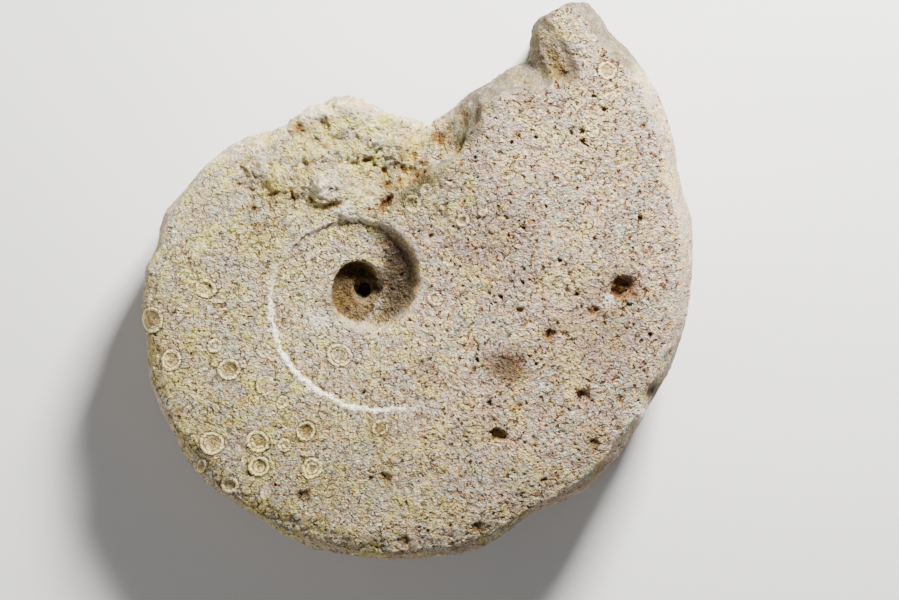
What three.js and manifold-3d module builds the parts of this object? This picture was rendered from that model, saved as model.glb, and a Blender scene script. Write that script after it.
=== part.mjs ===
// Ammonite fossil: the coiled shell of a sea creature turned to cream limestone, all one piece of stone.
// It lies on one worn flank with the other flank up. The last whorl opens out to a broken mouth,
// and a stepped umbilicus winds down to a small hole through the middle of the coil.
// The coil is built round the Z axis, then tilted a little so that its worn flank lies level at Z = 0.
// Units are millimetres and degrees. Angles run anticlockwise from +X, as the shell grew.

import * as THREE from "three";
import { mergeVertices } from "three/addons/utils/BufferGeometryUtils.js";
import Module from "manifold-3d";

// Driving dimensions of the coil
const MOUTH_ANGLE = 66; // where the last whorl begins; it ends at the mouth, one turn later
const COIL_RADIUS = 40.9; // axis to venter, on the -X side at 180 degrees
const COIL_GROWTH = 0.1247; // growth of that radius per radian: the shell is a logarithmic spiral
const HALF_THICKNESS = 13.0; // at 180 degrees
const THICKNESS_GROWTH = 0.056; // per radian
const HUB_HALF_THICKNESS = 11.9; // the flanks slope down to this level round the umbilicus
const HUB_EDGE = 12; // radius where that slope begins
const CREST_RADIUS = 34; // radius where the flank reaches its full height
const SHOULDER_WIDTH = 3.6; // rounding between flank and venter at 180 degrees
const SHOULDER_GROWTH = 0.27; // per radian
const SHOULDER_SQUARENESS = 0.68; // 1 is an ellipse, less is squarer
const VENTER_WEAR = 0.5; // lumps of the venter, half their height from crest to hollow
const FLANK_WEAR = 0.16; // gentle lumps of both flanks, the same
const HOLE_RADIUS = 1.25;

// The umbilical seam, a spiral step that the whorls leave where each one wraps the last.
// Pairs of angle along the seam, counted back into the coil, and the value there.
const SEAM_RADIUS = 21.9; // at 270 degrees
const SEAM_WIDENING = 3; // times per turn
const SEAM_DROP = [
  [-540, 1.0], [-360, 1.6], [-180, 3.0], [-60, 3.9], [0, 3.7],
  [60, 2.2], [90, 1.6], [180, 1.0], [262, 0.9], [318, 0],
];
const SEAM_WIDTH = [[-540, 0.6], [-360, 1.0], [-90, 1.7], [0, 2.7], [60, 1.7], [120, 0.9], [306, 0.9]];
const RAMP_SLOPE = 0.05; // fall per millimetre towards the axis, inside the radius above

// Worn scallops along the venter: angle, radial height and half-width in degrees
const SCALLOPS = [
  [95, 1.4, 7], [107, 0.5, 3], [122, -2.2, 11], [151, -0.8, 3], [168, -0.9, 4], [174, 0.7, 3],
  [194, -1.6, 4], [206, 0.5, 4], [231, 0.6, 5], [274, 0.9, 4], [306, -1.2, 6], [367, 0.5, 5],
  [379, -1.1, 5], [396, 0.5, 4], [405, -0.9, 3],
];

// Lumps and hollows of the weathered flank above: x, y, radius, height
const WEATHERING = [
  [-21.6, 18.2, 2.4, -1.0], [-18.6, 17.0, 2.2, -0.9], [-14.6, 16.4, 2.4, -0.9], [-10.2, 15.4, 2.4, -1.1],
  [-6.6, 14.6, 2.6, -1.5], [-17.6, 20.6, 3.4, 0.7], [-7.4, 18.6, 2.8, 1.1], [-12.4, 19.4, 3.0, 0.6],
  [-3.6, 32.6, 4.0, 0.9], [-12, 26, 5.0, 0.5], [0.4, 21.6, 3.2, -1.1], [4.2, 19.4, 2.6, -1.2],
  [2.6, 27.2, 3.6, 0.5], [9.4, 25.6, 4.0, -0.9], [8.0, 31.0, 4.0, -0.8],
];

// Solution pits bored into the flank above: x, y, radius, depth
const PITS = [
  [46.9, 0.2, 2.0, 2.4], [41.0, -4.3, 1.5, 1.0], [33.9, -8.0, 1.2, 1.1], [40.0, -19.8, 1.5, 1.5],
  [24.7, -26.6, 1.7, 1.7], [20.7, -43.3, 1.2, 1.3], [7.6, -45.6, 1.2, 1.0], [3.9, -34.4, 1.1, 1.0],
  [-10.9, -38.0, 1.3, 1.2], [42.0, -28.1, 1.2, 1.0],
];

// Silica rings standing a little proud of the flank: x, y, radius
const RINGS = [
  [-27.5, -27.9, 2.3], [-19.0, -27.8, 2.0], [-10.3, -25.9, 2.0], [-9.2, -32.5, 1.9], [-18.8, -32.2, 1.9],
  [-28.6, 0.0, 1.9], [-34.2, -13.0, 2.0], [-24.2, -14.7, 2.1],
];
const RING_THICKNESS = 0.36;

// The broken mouth: where the lip meets the upper flank, where it lies half-way through the stone, and which
// profile it breaks to, from 0 for the flat chip on the upper flank to 1 for the hollowed lip.
const BREAK = [
  [[6.0, 16.9], [11.3, 30.9], 0], [[9.3, 19.5], [11.7, 30.7], 0], [[12.2, 20.9], [11.9, 30.7], 0],
  [[14.6, 22.0], [12.2, 30.8], 0], [[17.0, 24.2], [13.6, 31.4], 0.05], [[18.3, 26.3], [15.0, 32.3], 0.15],
  [[19.8, 28.2], [16.3, 33.1], 0.35], [[20.6, 30.4], [18.0, 34.9], 0.6], [[21.8, 33.2], [20.4, 36.8], 0.85],
  [[25.2, 35.0], [23.1, 38.1], 1], [[29.1, 35.3], [26.1, 40.4], 1], [[33.0, 35.6], [28.4, 41.5], 1],
  [[35.6, 36.6], [30.2, 42.3], 1], [[34.2, 39.6], [30.9, 43.7], 1], [[32.8, 42.2], [31.0, 45.2], 1],
  [[32.3, 44.6], [31.1, 46.7], 1], [[32.3, 46.9], [31.3, 48.0], 1], [[32.9, 49.2], [31.6, 49.6], 1],
  [[38.0, 52.2], [36.3, 51.6], 1], [[42.8, 53.2], [42.8, 53.2], 1],
  [[50, 62], [50, 62], 1], [[30, 82], [30, 82], 1], [[0, 82], [0, 82], 1], // clear of the stone
  [[11.2, 36], [6.6, 38], 0], [[8.4, 25], [9.0, 34.2], 0],
];
// Height, how far the hollowed lip lies from the flank's line to the middle's, and how far the chip does
const PROFILES = [
  [-26, -0.12, -0.08], [-16, 0.02, 0], [-14.2, 0.3, 0.06], [-12.2, 0.6, 0.3], [-10.9, 0.8, 0.8],
  [-7, 0.95, 1], [4, 1, 1], [8.6, 0.93, 1], [10.2, 0.75, 0.75], [11.1, 0.66, 0.14],
  [13.2, 0.38, 0.04], [14.8, 0.18, 0], [16.2, 0.03, -0.02], [26, -0.12, -0.08],
];

// Hollows in the broken lip: x, y, z, half-length, half-width, depth, direction
const SCOOPS = [
  [13.7, 27.9, 11.6, 2.4, 1.7, 2.2, 80], [17.2, 25.8, 12.8, 2.6, 1.7, 2.4, 50],
  [4.6, 16.4, 12.0, 2.8, 1.5, 2.0, 40], [34.5, 43.5, 17.4, 7.4, 3.4, 4.4, -60],
  [36.9, 39.4, 15.8, 2.6, 2.2, 3.2, 0], [28.4, 36.6, 17.4, 4.2, 3.0, 2.6, 10],
  [19.4, 31.4, 15.4, 3.2, 2.2, 3.0, 70], [20.4, 38.2, -3.0, 3.6, 1.9, 4.0, 40],
  [26.6, 41.6, -8.0, 3.4, 2.0, 3.4, 45], [30.3, 46.6, -1.0, 2.2, 1.5, 5.0, 95],
];

// How it rests
const REST_TILT = { x: 1.0, y: -1.5 }; // which levels the worn flank
const WEAR_DEPTH = 0.9; // stone worn away where it rests

// Mesh density
const SECTIONS = 73;
const MOUTH_CROWDING = 0.25; // the slices stand closer together towards the mouth
const UMBILICUS_RADIUS = 26; // lines of the mesh follow the seam out to here
const UPPER = {
  wall: [-0.5, -0.17, 0.17, 0.5],
  between: [0.13, 0.26, 0.39, 0.52, 0.65, -0.75, -0.5, -0.25, -1.65, -1.3],
  outer: 5,
};
const LOWER = { wall: [-0.5, 0.5], between: [0.33, -0.5, -1.5], outer: 3 };
const SEAMS = [0, -1, -2]; // this turn's and those of the turns inside it
const VENTER_STEPS = 6;

const LIMESTONE = new THREE.MeshStandardMaterial({ color: 0xb7ab95, roughness: 0.92, metalness: 0 });

const radians = THREE.MathUtils.degToRad;
const { lerp, smoothstep } = THREE.MathUtils;
const growth = (rate, angle) => Math.exp(rate * radians(angle - 180));
const bump = (offset, width) => Math.exp(-((offset / width) ** 2));

// The value at x on a smooth line through [x, value] pairs.
function along(pairs, x) {
  const next = pairs.findIndex(([start]) => start > x);
  if (next === 0) return pairs[0][1];
  if (next < 0) return pairs.at(-1)[1];
  const [[x0, v0], [x1, v1]] = [pairs[next - 1], pairs[next]];
  return lerp(v0, v1, smoothstep(x, x0, x1));
}

// Axis to venter.
function outerRadius(angle) {
  const worn = SCALLOPS.reduce((sum, [at, height, width]) => sum + height * bump(angle - at, width), 0);
  return COIL_RADIUS * growth(COIL_GROWTH, angle) + worn;
}

// Where the rounded shoulder begins.
const shoulderRadius = (angle) => outerRadius(angle) - SHOULDER_WIDTH * growth(SHOULDER_GROWTH, angle);

const seamRadius = (angle) => SEAM_RADIUS * SEAM_WIDENING ** ((angle - 270) / 360);

// Height of the flank over the coil's mid-plane, without weathering.
function flankHeight(angle, radius) {
  const full = HALF_THICKNESS * growth(THICKNESS_GROWTH, angle);
  let height = lerp(HUB_HALF_THICKNESS, full, smoothstep(radius, HUB_EDGE, CREST_RADIUS));
  for (const turn of SEAMS) {
    const at = angle + 360 * turn;
    const half = along(SEAM_WIDTH, at) / 2;
    height -= along(SEAM_DROP, at) * (1 - smoothstep(radius, seamRadius(at) - half, seamRadius(at) + half));
  }
  return height - RAMP_SLOPE * Math.max(0, SEAM_RADIUS - radius);
}

// Gentle lumps all over a flank; the seed tells the two flanks apart.
function undulation(x, y, seed) {
  const across = Math.sin(0.31 * x + 2 * Math.sin(0.23 * y + seed));
  return FLANK_WEAR * (across + Math.sin(0.37 * y - 0.19 * x + seed));
}

// Lumps and hollows of the upper flank.
function weathering(angle, radius) {
  const x = radius * Math.cos(radians(angle));
  const y = radius * Math.sin(radians(angle));
  const lump = ([px, py, size, height]) => height * bump(Math.hypot(x - px, y - py), size);
  const places = WEATHERING.reduce((sum, place) => sum + lump(place), 0);
  return places + undulation(x, y, 0) * smoothstep(radius, SEAM_RADIUS, CREST_RADIUS);
}

// Gentle lumps of the lower flank.
function wornBack(angle, radius) {
  const [x, y] = [radius * Math.cos(radians(angle)), radius * Math.sin(radians(angle))];
  return undulation(x, y, 2) * smoothstep(radius, SEAM_RADIUS, CREST_RADIUS);
}

// Radii from the hole to the shoulder. Each has a key that names its line in the mesh, which spirals with
// the seam out to the edge of the umbilicus; keys are counted in turns of the seam, one less a turn later.
function stations(angle, { wall, between, outer }) {
  const shoulder = shoulderRadius(angle);
  const lines = between.map((key) => [key, seamRadius(angle + 360 * key)]);
  for (const turn of SEAMS) {
    const at = angle + 360 * turn;
    const width = along(SEAM_WIDTH, at);
    for (const share of wall) lines.push([turn + share * 0.1, seamRadius(at) + share * width]);
  }
  const kept = lines
    .filter(([, r]) => r > HOLE_RADIUS + 0.25 && r < UMBILICUS_RADIUS - 0.4)
    .sort((a, b) => a[1] - b[1]);
  const flank = Array.from({ length: outer + 1 }, (_, i) => [
    10 + i,
    lerp(UMBILICUS_RADIUS, shoulder, i / outer),
  ]);
  return [[-10, HOLE_RADIUS], ...kept, ...flank];
}

// One closed slice through the coil: out over the upper flank, round the venter, back below and up the hole.
function slice(angle) {
  const edge = flankHeight(angle, shoulderRadius(angle));
  const upper = stations(angle, UPPER).map(([key, r]) => ({
    key,
    r,
    z: flankHeight(angle, r) + weathering(angle, r),
  }));
  const venter = Array.from({ length: VENTER_STEPS - 1 }, (_, i) => {
    const turn = (Math.PI * (i + 1)) / VENTER_STEPS;
    const out = Math.sin(turn) ** SHOULDER_SQUARENESS;
    const up = Math.sign(Math.cos(turn)) * Math.abs(Math.cos(turn)) ** SHOULDER_SQUARENESS;
    const lumps = i === 0 ? 0 : VENTER_WEAR * Math.sin(radians(angle) * (9 + 2 * i) + 2.3 * i);
    return { key: 20 + i, r: lerp(shoulderRadius(angle), outerRadius(angle), out) + lumps, z: edge * up };
  });
  const lower = stations(angle, LOWER)
    .map(([key, r]) => ({ key: 40 - key, r, z: -flankHeight(angle, r) - wornBack(angle, r) }))
    .reverse();
  const [c, s] = [Math.cos(radians(angle)), Math.sin(radians(angle))];
  return [...upper, ...venter, ...lower].map(({ key, r, z }) => ({ key, r, point: [r * c, r * s, z] }));
}

// Triangles between two slices, taking whichever side's next point comes first by the given order.
function zip(from, to, order) {
  const faces = [];
  for (let i = 0, j = 0; i < from.length - 1 || j < to.length - 1; ) {
    const [a, b] = [from[i + 1], to[j + 1]];
    const second = !a || (b && order(b, 1) < order(a, 0));
    faces.push(second ? [from[i], b, to[j]] : [from[i], a, to[j]]);
    if (second) j++;
    else i++;
  }
  faces.push([from.at(-1), from[0], to.at(-1)], [from[0], to[0], to.at(-1)]);
  return faces;
}

// Where the last slice meets the first, one turn apart, points are paired by radius.
function byRadius({ key, r }) {
  if (key < 20) return r;
  return key < 27 ? 100 + key : 300 - r;
}

// The whole coil, before the mouth was broken.
function coil() {
  const slices = Array.from({ length: SECTIONS }, (_, i) => {
    const turned = (2 * Math.PI * (i + 0.5)) / SECTIONS;
    return slice(MOUTH_ANGLE + THREE.MathUtils.radToDeg(turned - MOUTH_CROWDING * Math.sin(turned)));
  });
  const faces = slices.slice(1).flatMap((next, i) => zip(slices[i], next, ({ key }) => key));
  faces.push(...zip(slices.at(-1), slices[0], byRadius));
  const corners = faces.flat().flatMap(({ point }) => point);
  return new THREE.BufferGeometry().setAttribute("position", new THREE.Float32BufferAttribute(corners, 3));
}

// A closed geometry from layers of equal length, each joined to the next, with both ends capped.
function loft(layers) {
  const across = layers[0].length;
  const index = [];
  for (let i = 0; i < layers.length - 1; i++) {
    for (let j = 0; j < across; j++) {
      const [a, b] = [i * across + j, i * across + ((j + 1) % across)];
      index.push(a, b, a + across, b, b + across, a + across);
    }
  }
  const outline = (layer) => layer.map(([x, y]) => new THREE.Vector2(x, y));
  const cap = (layer) => THREE.ShapeUtils.triangulateShape(outline(layer), []);
  const top = (layers.length - 1) * across;
  for (const [a, b, c] of cap(layers[0])) index.push(a, c, b);
  for (const [a, b, c] of cap(layers.at(-1))) index.push(top + a, top + b, top + c);
  return new THREE.BufferGeometry()
    .setAttribute("position", new THREE.Float32BufferAttribute(layers.flat(2), 3))
    .setIndex(index);
}

// What broke away at the mouth, with the flat chip that came off the upper flank beside it.
function breakage() {
  const layers = PROFILES.map(([z, lip, chip]) =>
    BREAK.map(([[x0, y0], [x1, y1], kind]) => {
      const share = lerp(chip, lip, kind);
      return [lerp(x0, x1, share), lerp(y0, y1, share), z];
    }),
  );
  return loft(layers);
}

// Height of the upper flank at a place on it.
function surfaceAt(x, y) {
  const turned = THREE.MathUtils.radToDeg(Math.atan2(y, x)) - MOUTH_ANGLE;
  return flankHeight(MOUTH_ANGLE + THREE.MathUtils.euclideanModulo(turned, 360), Math.hypot(x, y));
}

// One pit, a blunt hollow as deep as it says below the flank.
const pit = ([x, y, radius, depth]) =>
  new THREE.IcosahedronGeometry(1, 1)
    .scale(radius * 1.12, radius * 1.12, depth * 1.25)
    .rotateZ(x)
    .translate(x, y, surfaceAt(x, y) + depth * 0.25);

// One hollow in the broken lip.
const scoop = ([x, y, z, length, width, depth, direction]) =>
  new THREE.IcosahedronGeometry(1, 1)
    .scale(length, width, depth)
    .rotateZ(radians(direction))
    .translate(x, y, z);

// One silica ring.
const ring = ([x, y, radius]) =>
  new THREE.TorusGeometry(radius, RING_THICKNESS, 4, 11).translate(x, y, surfaceAt(x, y));

const wasm = await Module();
wasm.setup();

// A closed geometry as a solid that can be joined and cut.
function solid(geometry) {
  const bare = geometry.index ? geometry.toNonIndexed() : geometry.clone();
  bare.deleteAttribute("normal");
  bare.deleteAttribute("uv");
  const merged = mergeVertices(bare, 1e-4);
  const vertProperties = merged.attributes.position.array;
  const triVerts = new Uint32Array(merged.index.array);
  return new wasm.Manifold(new wasm.Mesh({ numProp: 3, vertProperties, triVerts }));
}

// A solid back as a geometry.
function geometryOf(made) {
  const { vertProperties, triVerts } = made.getMesh();
  const geometry = new THREE.BufferGeometry()
    .setAttribute("position", new THREE.BufferAttribute(vertProperties, 3))
    .setIndex(new THREE.BufferAttribute(triVerts, 1));
  geometry.computeVertexNormals();
  return geometry;
}

// The finished stone: broken, pitted, tilted to how it rests and worn flat there, centred on its box.
function stone() {
  let body = solid(coil()).subtract(solid(breakage()));
  for (const hollow of [...SCOOPS.map(scoop), ...PITS.map(pit)]) body = body.subtract(solid(hollow));
  for (const raised of RINGS.map(ring)) body = body.add(solid(raised));
  const tilted = geometryOf(body).rotateX(radians(REST_TILT.x)).rotateY(radians(REST_TILT.y));
  tilted.computeBoundingBox();
  const level = tilted.boundingBox.min.z + WEAR_DEPTH;
  const worn = new THREE.BoxGeometry(200, 200, 20).translate(0, 0, level - 10);
  const rested = geometryOf(solid(tilted).subtract(solid(worn)));
  rested.computeBoundingBox();
  const { min, max } = rested.boundingBox;
  return rested.translate(-(min.x + max.x) / 2, -(min.y + max.y) / 2, -min.z);
}

const fossil = new THREE.Group();
const ammonite = new THREE.Mesh(stone(), LIMESTONE);
ammonite.name = "ammonite";
fossil.add(ammonite);

export default fossil;
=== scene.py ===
"""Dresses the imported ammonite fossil: pitted cream limestone, silica rings, stains and a broken mouth.

The stone is worked in the coil's own frame, in millimetres. Its origin is on the coil's axis, half-way
through the thickness, and +Z points out of the upper flank. Angles run anticlockwise from +X, the way the
shell grew.
"""

import logging
import math
from dataclasses import dataclass, field
from enum import Enum
from typing import Sequence, Union

import bpy
import numpy as np
from mathutils import Matrix, Vector


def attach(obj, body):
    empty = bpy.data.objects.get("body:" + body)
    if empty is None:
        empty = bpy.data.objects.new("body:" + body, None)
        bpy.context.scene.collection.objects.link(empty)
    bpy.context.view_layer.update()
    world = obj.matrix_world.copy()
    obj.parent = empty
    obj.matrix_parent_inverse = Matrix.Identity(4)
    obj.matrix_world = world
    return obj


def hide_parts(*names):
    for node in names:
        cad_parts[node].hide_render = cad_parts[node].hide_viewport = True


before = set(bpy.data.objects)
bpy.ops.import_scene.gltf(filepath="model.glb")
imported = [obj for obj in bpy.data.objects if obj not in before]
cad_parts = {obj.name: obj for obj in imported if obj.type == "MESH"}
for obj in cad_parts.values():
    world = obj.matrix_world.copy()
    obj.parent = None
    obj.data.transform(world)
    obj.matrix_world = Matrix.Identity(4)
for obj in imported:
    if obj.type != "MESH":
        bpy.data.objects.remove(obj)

log = logging.getLogger("ammonite")

MM = 0.001
NODE = "ammonite"
BODY = "root"
PIECE = "ammonite_stone"
UPPER_FROM_MM = 3.0
NOISE_MIDDLE = 0.5

Socket = bpy.types.NodeSocket
Sockets = bpy.types.bpy_prop_collection
Value = Union[float, Socket]
Colour = tuple[float, float, float, float]
Keys = tuple[tuple[float, float], ...]


def deselect_all() -> None:
    """Leaves nothing selected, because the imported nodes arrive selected."""
    bpy.ops.object.select_all(action="DESELECT")


def make_active(thing: bpy.types.Object) -> None:
    """Selects one object alone.

    Args:
        thing: the object that the next operators act on.
    """
    deselect_all()
    thing.select_set(True)
    bpy.context.view_layer.objects.active = thing


def apply_modifier(thing: bpy.types.Object, modifier: bpy.types.Modifier) -> None:
    """Makes a modifier's work part of the mesh.

    Args:
        thing: the object.
        modifier: one of its modifiers.
    """
    make_active(thing)
    bpy.ops.object.modifier_apply(modifier=modifier.name)


def smoothstep(value: np.ndarray, low: float, high: float) -> np.ndarray:
    """Rises smoothly from 0 at low to 1 at high.

    Args:
        value: the numbers to map.
        low: where the rise starts; it may be above high, for a fall.
        high: where it ends.

    Returns:
        The mapped numbers, from 0 to 1.
    """
    t = np.clip((value - low) / (high - low), 0.0, 1.0)
    return t * t * (3.0 - 2.0 * t)


def bell(value: np.ndarray, width: float) -> np.ndarray:
    """Reads a bell curve, 1 at zero.

    Args:
        value: distance from the middle.
        width: where the curve has fallen to about a third.

    Returns:
        The height of the curve.
    """
    return np.exp(-((value / width) ** 2))


def ripple(turned: np.ndarray, waves: float, start: float) -> np.ndarray:
    """Reads a wave that runs round the coil.

    Args:
        turned: angles in degrees.
        waves: how many waves there are to a full turn.
        start: the phase at zero, in radians.

    Returns:
        Numbers from -1 to 1.
    """
    return np.sin(np.radians(turned) * waves + start)


def follow(keys: Keys, turned: np.ndarray) -> np.ndarray:
    """Reads a value off a line through pairs of angle and value.

    Args:
        keys: the pairs, by rising angle.
        turned: the angles to read at, in degrees.

    Returns:
        The values.
    """
    angles, values = zip(*keys)
    return np.interp(turned, angles, values)


@dataclass(frozen=True)
class Coil:
    """Where the coil lies in the row's frame, and the spirals that its whorls follow."""

    shift_mm: tuple[float, float, float] = (-10.04146, -1.40229, 14.60880)
    tilt_x_deg: float = 1.0
    tilt_y_deg: float = -1.5
    mouth_deg: float = 66.0
    venter_mm: float = 40.9
    venter_growth: float = 0.1247
    seam_mm: float = 21.9
    seam_widening: float = 3.0

    def matrix(self) -> Matrix:
        """Places the coil's frame in the row's frame.

        Returns:
            The matrix from one to the other, both in millimetres.
        """
        turn_y = Matrix.Rotation(math.radians(self.tilt_y_deg), 4, "Y")
        turn_x = Matrix.Rotation(math.radians(self.tilt_x_deg), 4, "X")
        return Matrix.Translation(self.shift_mm) @ turn_y @ turn_x

    def from_row(self, points_m: np.ndarray) -> np.ndarray:
        """Takes points out of the row's frame.

        Args:
            points_m: one point a line, in metres in the row's frame.

        Returns:
            The same points in millimetres in the coil's frame.
        """
        back = np.array(self.matrix().inverted())
        return points_m / MM @ back[:3, :3].T + back[:3, 3]

    def to_row(self, point_mm: Sequence[float]) -> Vector:
        """Takes one point into the row's frame.

        Args:
            point_mm: the point in millimetres in the coil's frame.

        Returns:
            The same point in metres in the row's frame.
        """
        return (self.matrix() @ Vector(point_mm)) * MM

    def seam_radius(self, turned: np.ndarray) -> np.ndarray:
        """Works out the radius of the umbilical seam.

        Args:
            turned: angle along the seam in degrees, counted on past a full turn.

        Returns:
            Millimetres from the axis.
        """
        return self.seam_mm * self.seam_widening ** ((turned - 270.0) / 360.0)

    def venter_radius(self, turned: np.ndarray) -> np.ndarray:
        """Works out the radius of the outer edge of the last whorl.

        Args:
            turned: angle in degrees, from the mouth's angle on.

        Returns:
            Millimetres from the axis.
        """
        return self.venter_mm * np.exp(self.venter_growth * np.radians(turned - 180.0))


@dataclass(frozen=True)
class Ring:
    """One silica ring on the stone.

    x, y and radius are in millimetres. The radius lies along turn, in degrees, and squash is the other
    half-width over it. core is how brown the middle is, double is the strength of a second ring inside, and
    bold is how plainly the ring stands out.
    """

    x: float
    y: float
    radius: float
    core: float = 0.3
    double: float = 0.0
    bold: float = 1.0
    squash: float = 1.0
    turn: float = 0.0


@dataclass(frozen=True)
class Hollow:
    """One solution pit or small break.

    x, y, radius and depth are in millimetres, and brown is how stained it is.
    """

    x: float
    y: float
    radius: float
    depth: float
    brown: float = 0.7
    squash: float = 1.0
    turn: float = 0.0


@dataclass(frozen=True)
class Lump:
    """One soft swelling of the surface, or a soft dip. x, y, radius and height are in millimetres."""

    x: float
    y: float
    radius: float
    height: float
    squash: float = 1.0
    turn: float = 0.0


@dataclass(frozen=True)
class Stain:
    """A soft patch of colour. x, y and radius are in millimetres."""

    x: float
    y: float
    radius: float
    strength: float
    squash: float = 1.0
    turn: float = 0.0


@dataclass
class Stone:
    """The stone's surface as numbers.

    place and normal are in the coil's frame. radius and turned say where each point lies along the coil, and
    upper says how far it is on the upper flank, from 0 to 1.
    """

    place: np.ndarray
    normal: np.ndarray
    coil: Coil
    radius: np.ndarray = field(init=False)
    turned: np.ndarray = field(init=False)
    upper: np.ndarray = field(init=False)

    def __post_init__(self) -> None:
        """Works out where each point lies along the coil and across its thickness."""
        x, y, z = self.place.T
        self.radius = np.hypot(x, y)
        turn = np.degrees(np.arctan2(y, x)) - self.coil.mouth_deg
        self.turned = self.coil.mouth_deg + np.mod(turn, 360.0)
        self.upper = smoothstep(z, 2.0, 7.0)

    def within(self, x: float, y: float, reach: float) -> np.ndarray:
        """Picks the points of the upper side near a place.

        Args:
            x: the place, in millimetres.
            y: the place, in millimetres.
            reach: half the side of the square that is picked.

        Returns:
            Indices of the points.
        """
        px, py, pz = self.place.T
        return np.flatnonzero((np.abs(px - x) < reach) & (np.abs(py - y) < reach) & (pz > UPPER_FROM_MM))

    def slanted(self, middle: Sequence[float], way: Sequence[float]) -> tuple[np.ndarray, np.ndarray]:
        """Measures every point along and across a slanting line in the plane of the coil.

        Args:
            middle: where the line starts, in millimetres.
            way: the line's direction, about one millimetre long.

        Returns:
            Millimetres along it and across it.
        """
        dx, dy = self.place[:, 0] - middle[0], self.place[:, 1] - middle[1]
        return way[0] * dx + way[1] * dy, way[0] * dy - way[1] * dx

    def oval_distance(self, near: np.ndarray, spot: Union[Ring, Hollow, Lump, Stain]) -> np.ndarray:
        """Measures from a spot's middle, stretched so that its outline is at its radius.

        Args:
            near: indices of the points to measure.
            spot: the ring, hollow, lump or stain.

        Returns:
            Millimetres, one number for each index.
        """
        dx = self.place[near, 0] - spot.x
        dy = self.place[near, 1] - spot.y
        c, s = math.cos(math.radians(spot.turn)), math.sin(math.radians(spot.turn))
        along = dx * c + dy * s
        across = (dy * c - dx * s) / spot.squash
        return np.hypot(along, across)


RINGS = (
    Ring(-28.6, 0.0, 1.9, 0.35, 0.3, 1.0, 1.12, 90),
    Ring(-38.5, -5.7, 2.4, 0.55, 0.5, 1.0),
    Ring(-34.8, -13.0, 2.05, 0.6, 0.6, 1.0),
    Ring(-26.9, -10.4, 1.45, 0.2, 1.0, 0.9),
    Ring(-24.3, -14.7, 2.15, 0.8, 0.2, 1.0),
    Ring(-27.4, -28.1, 2.3, 0.4, 0.5, 1.0),
    Ring(-19.0, -27.8, 2.2, 0.7, 0.9, 1.0),
    Ring(-14.2, -28.5, 1.4, 0.3, 1.0, 0.8),
    Ring(-10.3, -25.9, 2.0, 0.8, 0.3, 1.0, 0.92, 30),
    Ring(-9.15, -32.6, 2.05, 0.4, 1.0, 1.0),
    Ring(-18.8, -32.3, 2.0, 0.4, 0.9, 1.0),
    Ring(-24.2, -35.7, 1.75, 0.75, 0.2, 0.9),
    Ring(-29.4, -32.3, 1.7, 0.4, 0.0, 0.8, 0.55, 70),
    Ring(-18.0, -11.3, 1.5, 0.15, 0.0, 0.7),
    Ring(-17.7, -17.6, 2.05, 0.3, 0.2, 0.7, 0.85, 20),
    Ring(-14.6, -20.7, 1.3, 0.5, 0.0, 0.8),
    Ring(-15.9, -5.5, 2.2, 0.3, 0.0, 0.6, 0.5, 90),
    Ring(-19.0, -5.7, 1.1, 0.3, 0.0, 0.5, 0.6, 90),
    Ring(-4.35, -12.2, 2.35, 0.35, 0.9, 0.9),
    Ring(-20.2, 5.2, 1.4, 0.2, 0.0, 0.5),
    Ring(-21.1, -36.7, 0.95, 0.3, 0.0, 0.5),
    Ring(-17.6, -37.1, 1.3, 0.3, 0.0, 0.5),
    Ring(-31.5, -20.6, 1.5, 0.2, 0.0, 0.4),
    Ring(3.25, -25.2, 1.85, 0.45, 0.0, 0.7, 0.8, 60),
    Ring(1.0, -13.9, 0.95, 0.3, 0.0, 0.6),
    Ring(13.15, -1.8, 1.5, 0.5, 0.7, 0.8),
    Ring(9.1, 15.4, 1.75, 0.35, 0.0, 0.8),
    Ring(11.5, 17.9, 1.3, 0.3, 0.0, 0.6),
    Ring(18.2, 12.4, 1.4, 0.15, 0.3, 0.9),
    Ring(21.85, 13.9, 1.05, 0.15, 0.3, 0.8),
    Ring(18.4, -13.9, 1.3, 0.5, 0.0, 0.5),
    Ring(44.4, 39.5, 1.85, 0.6, 0.3, 0.9),
    Ring(41.7, 28.6, 1.4, 0.25, 0.0, 0.7),
    Ring(24.0, -29.3, 0.95, 0.2, 0.0, 0.5),
)

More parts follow.
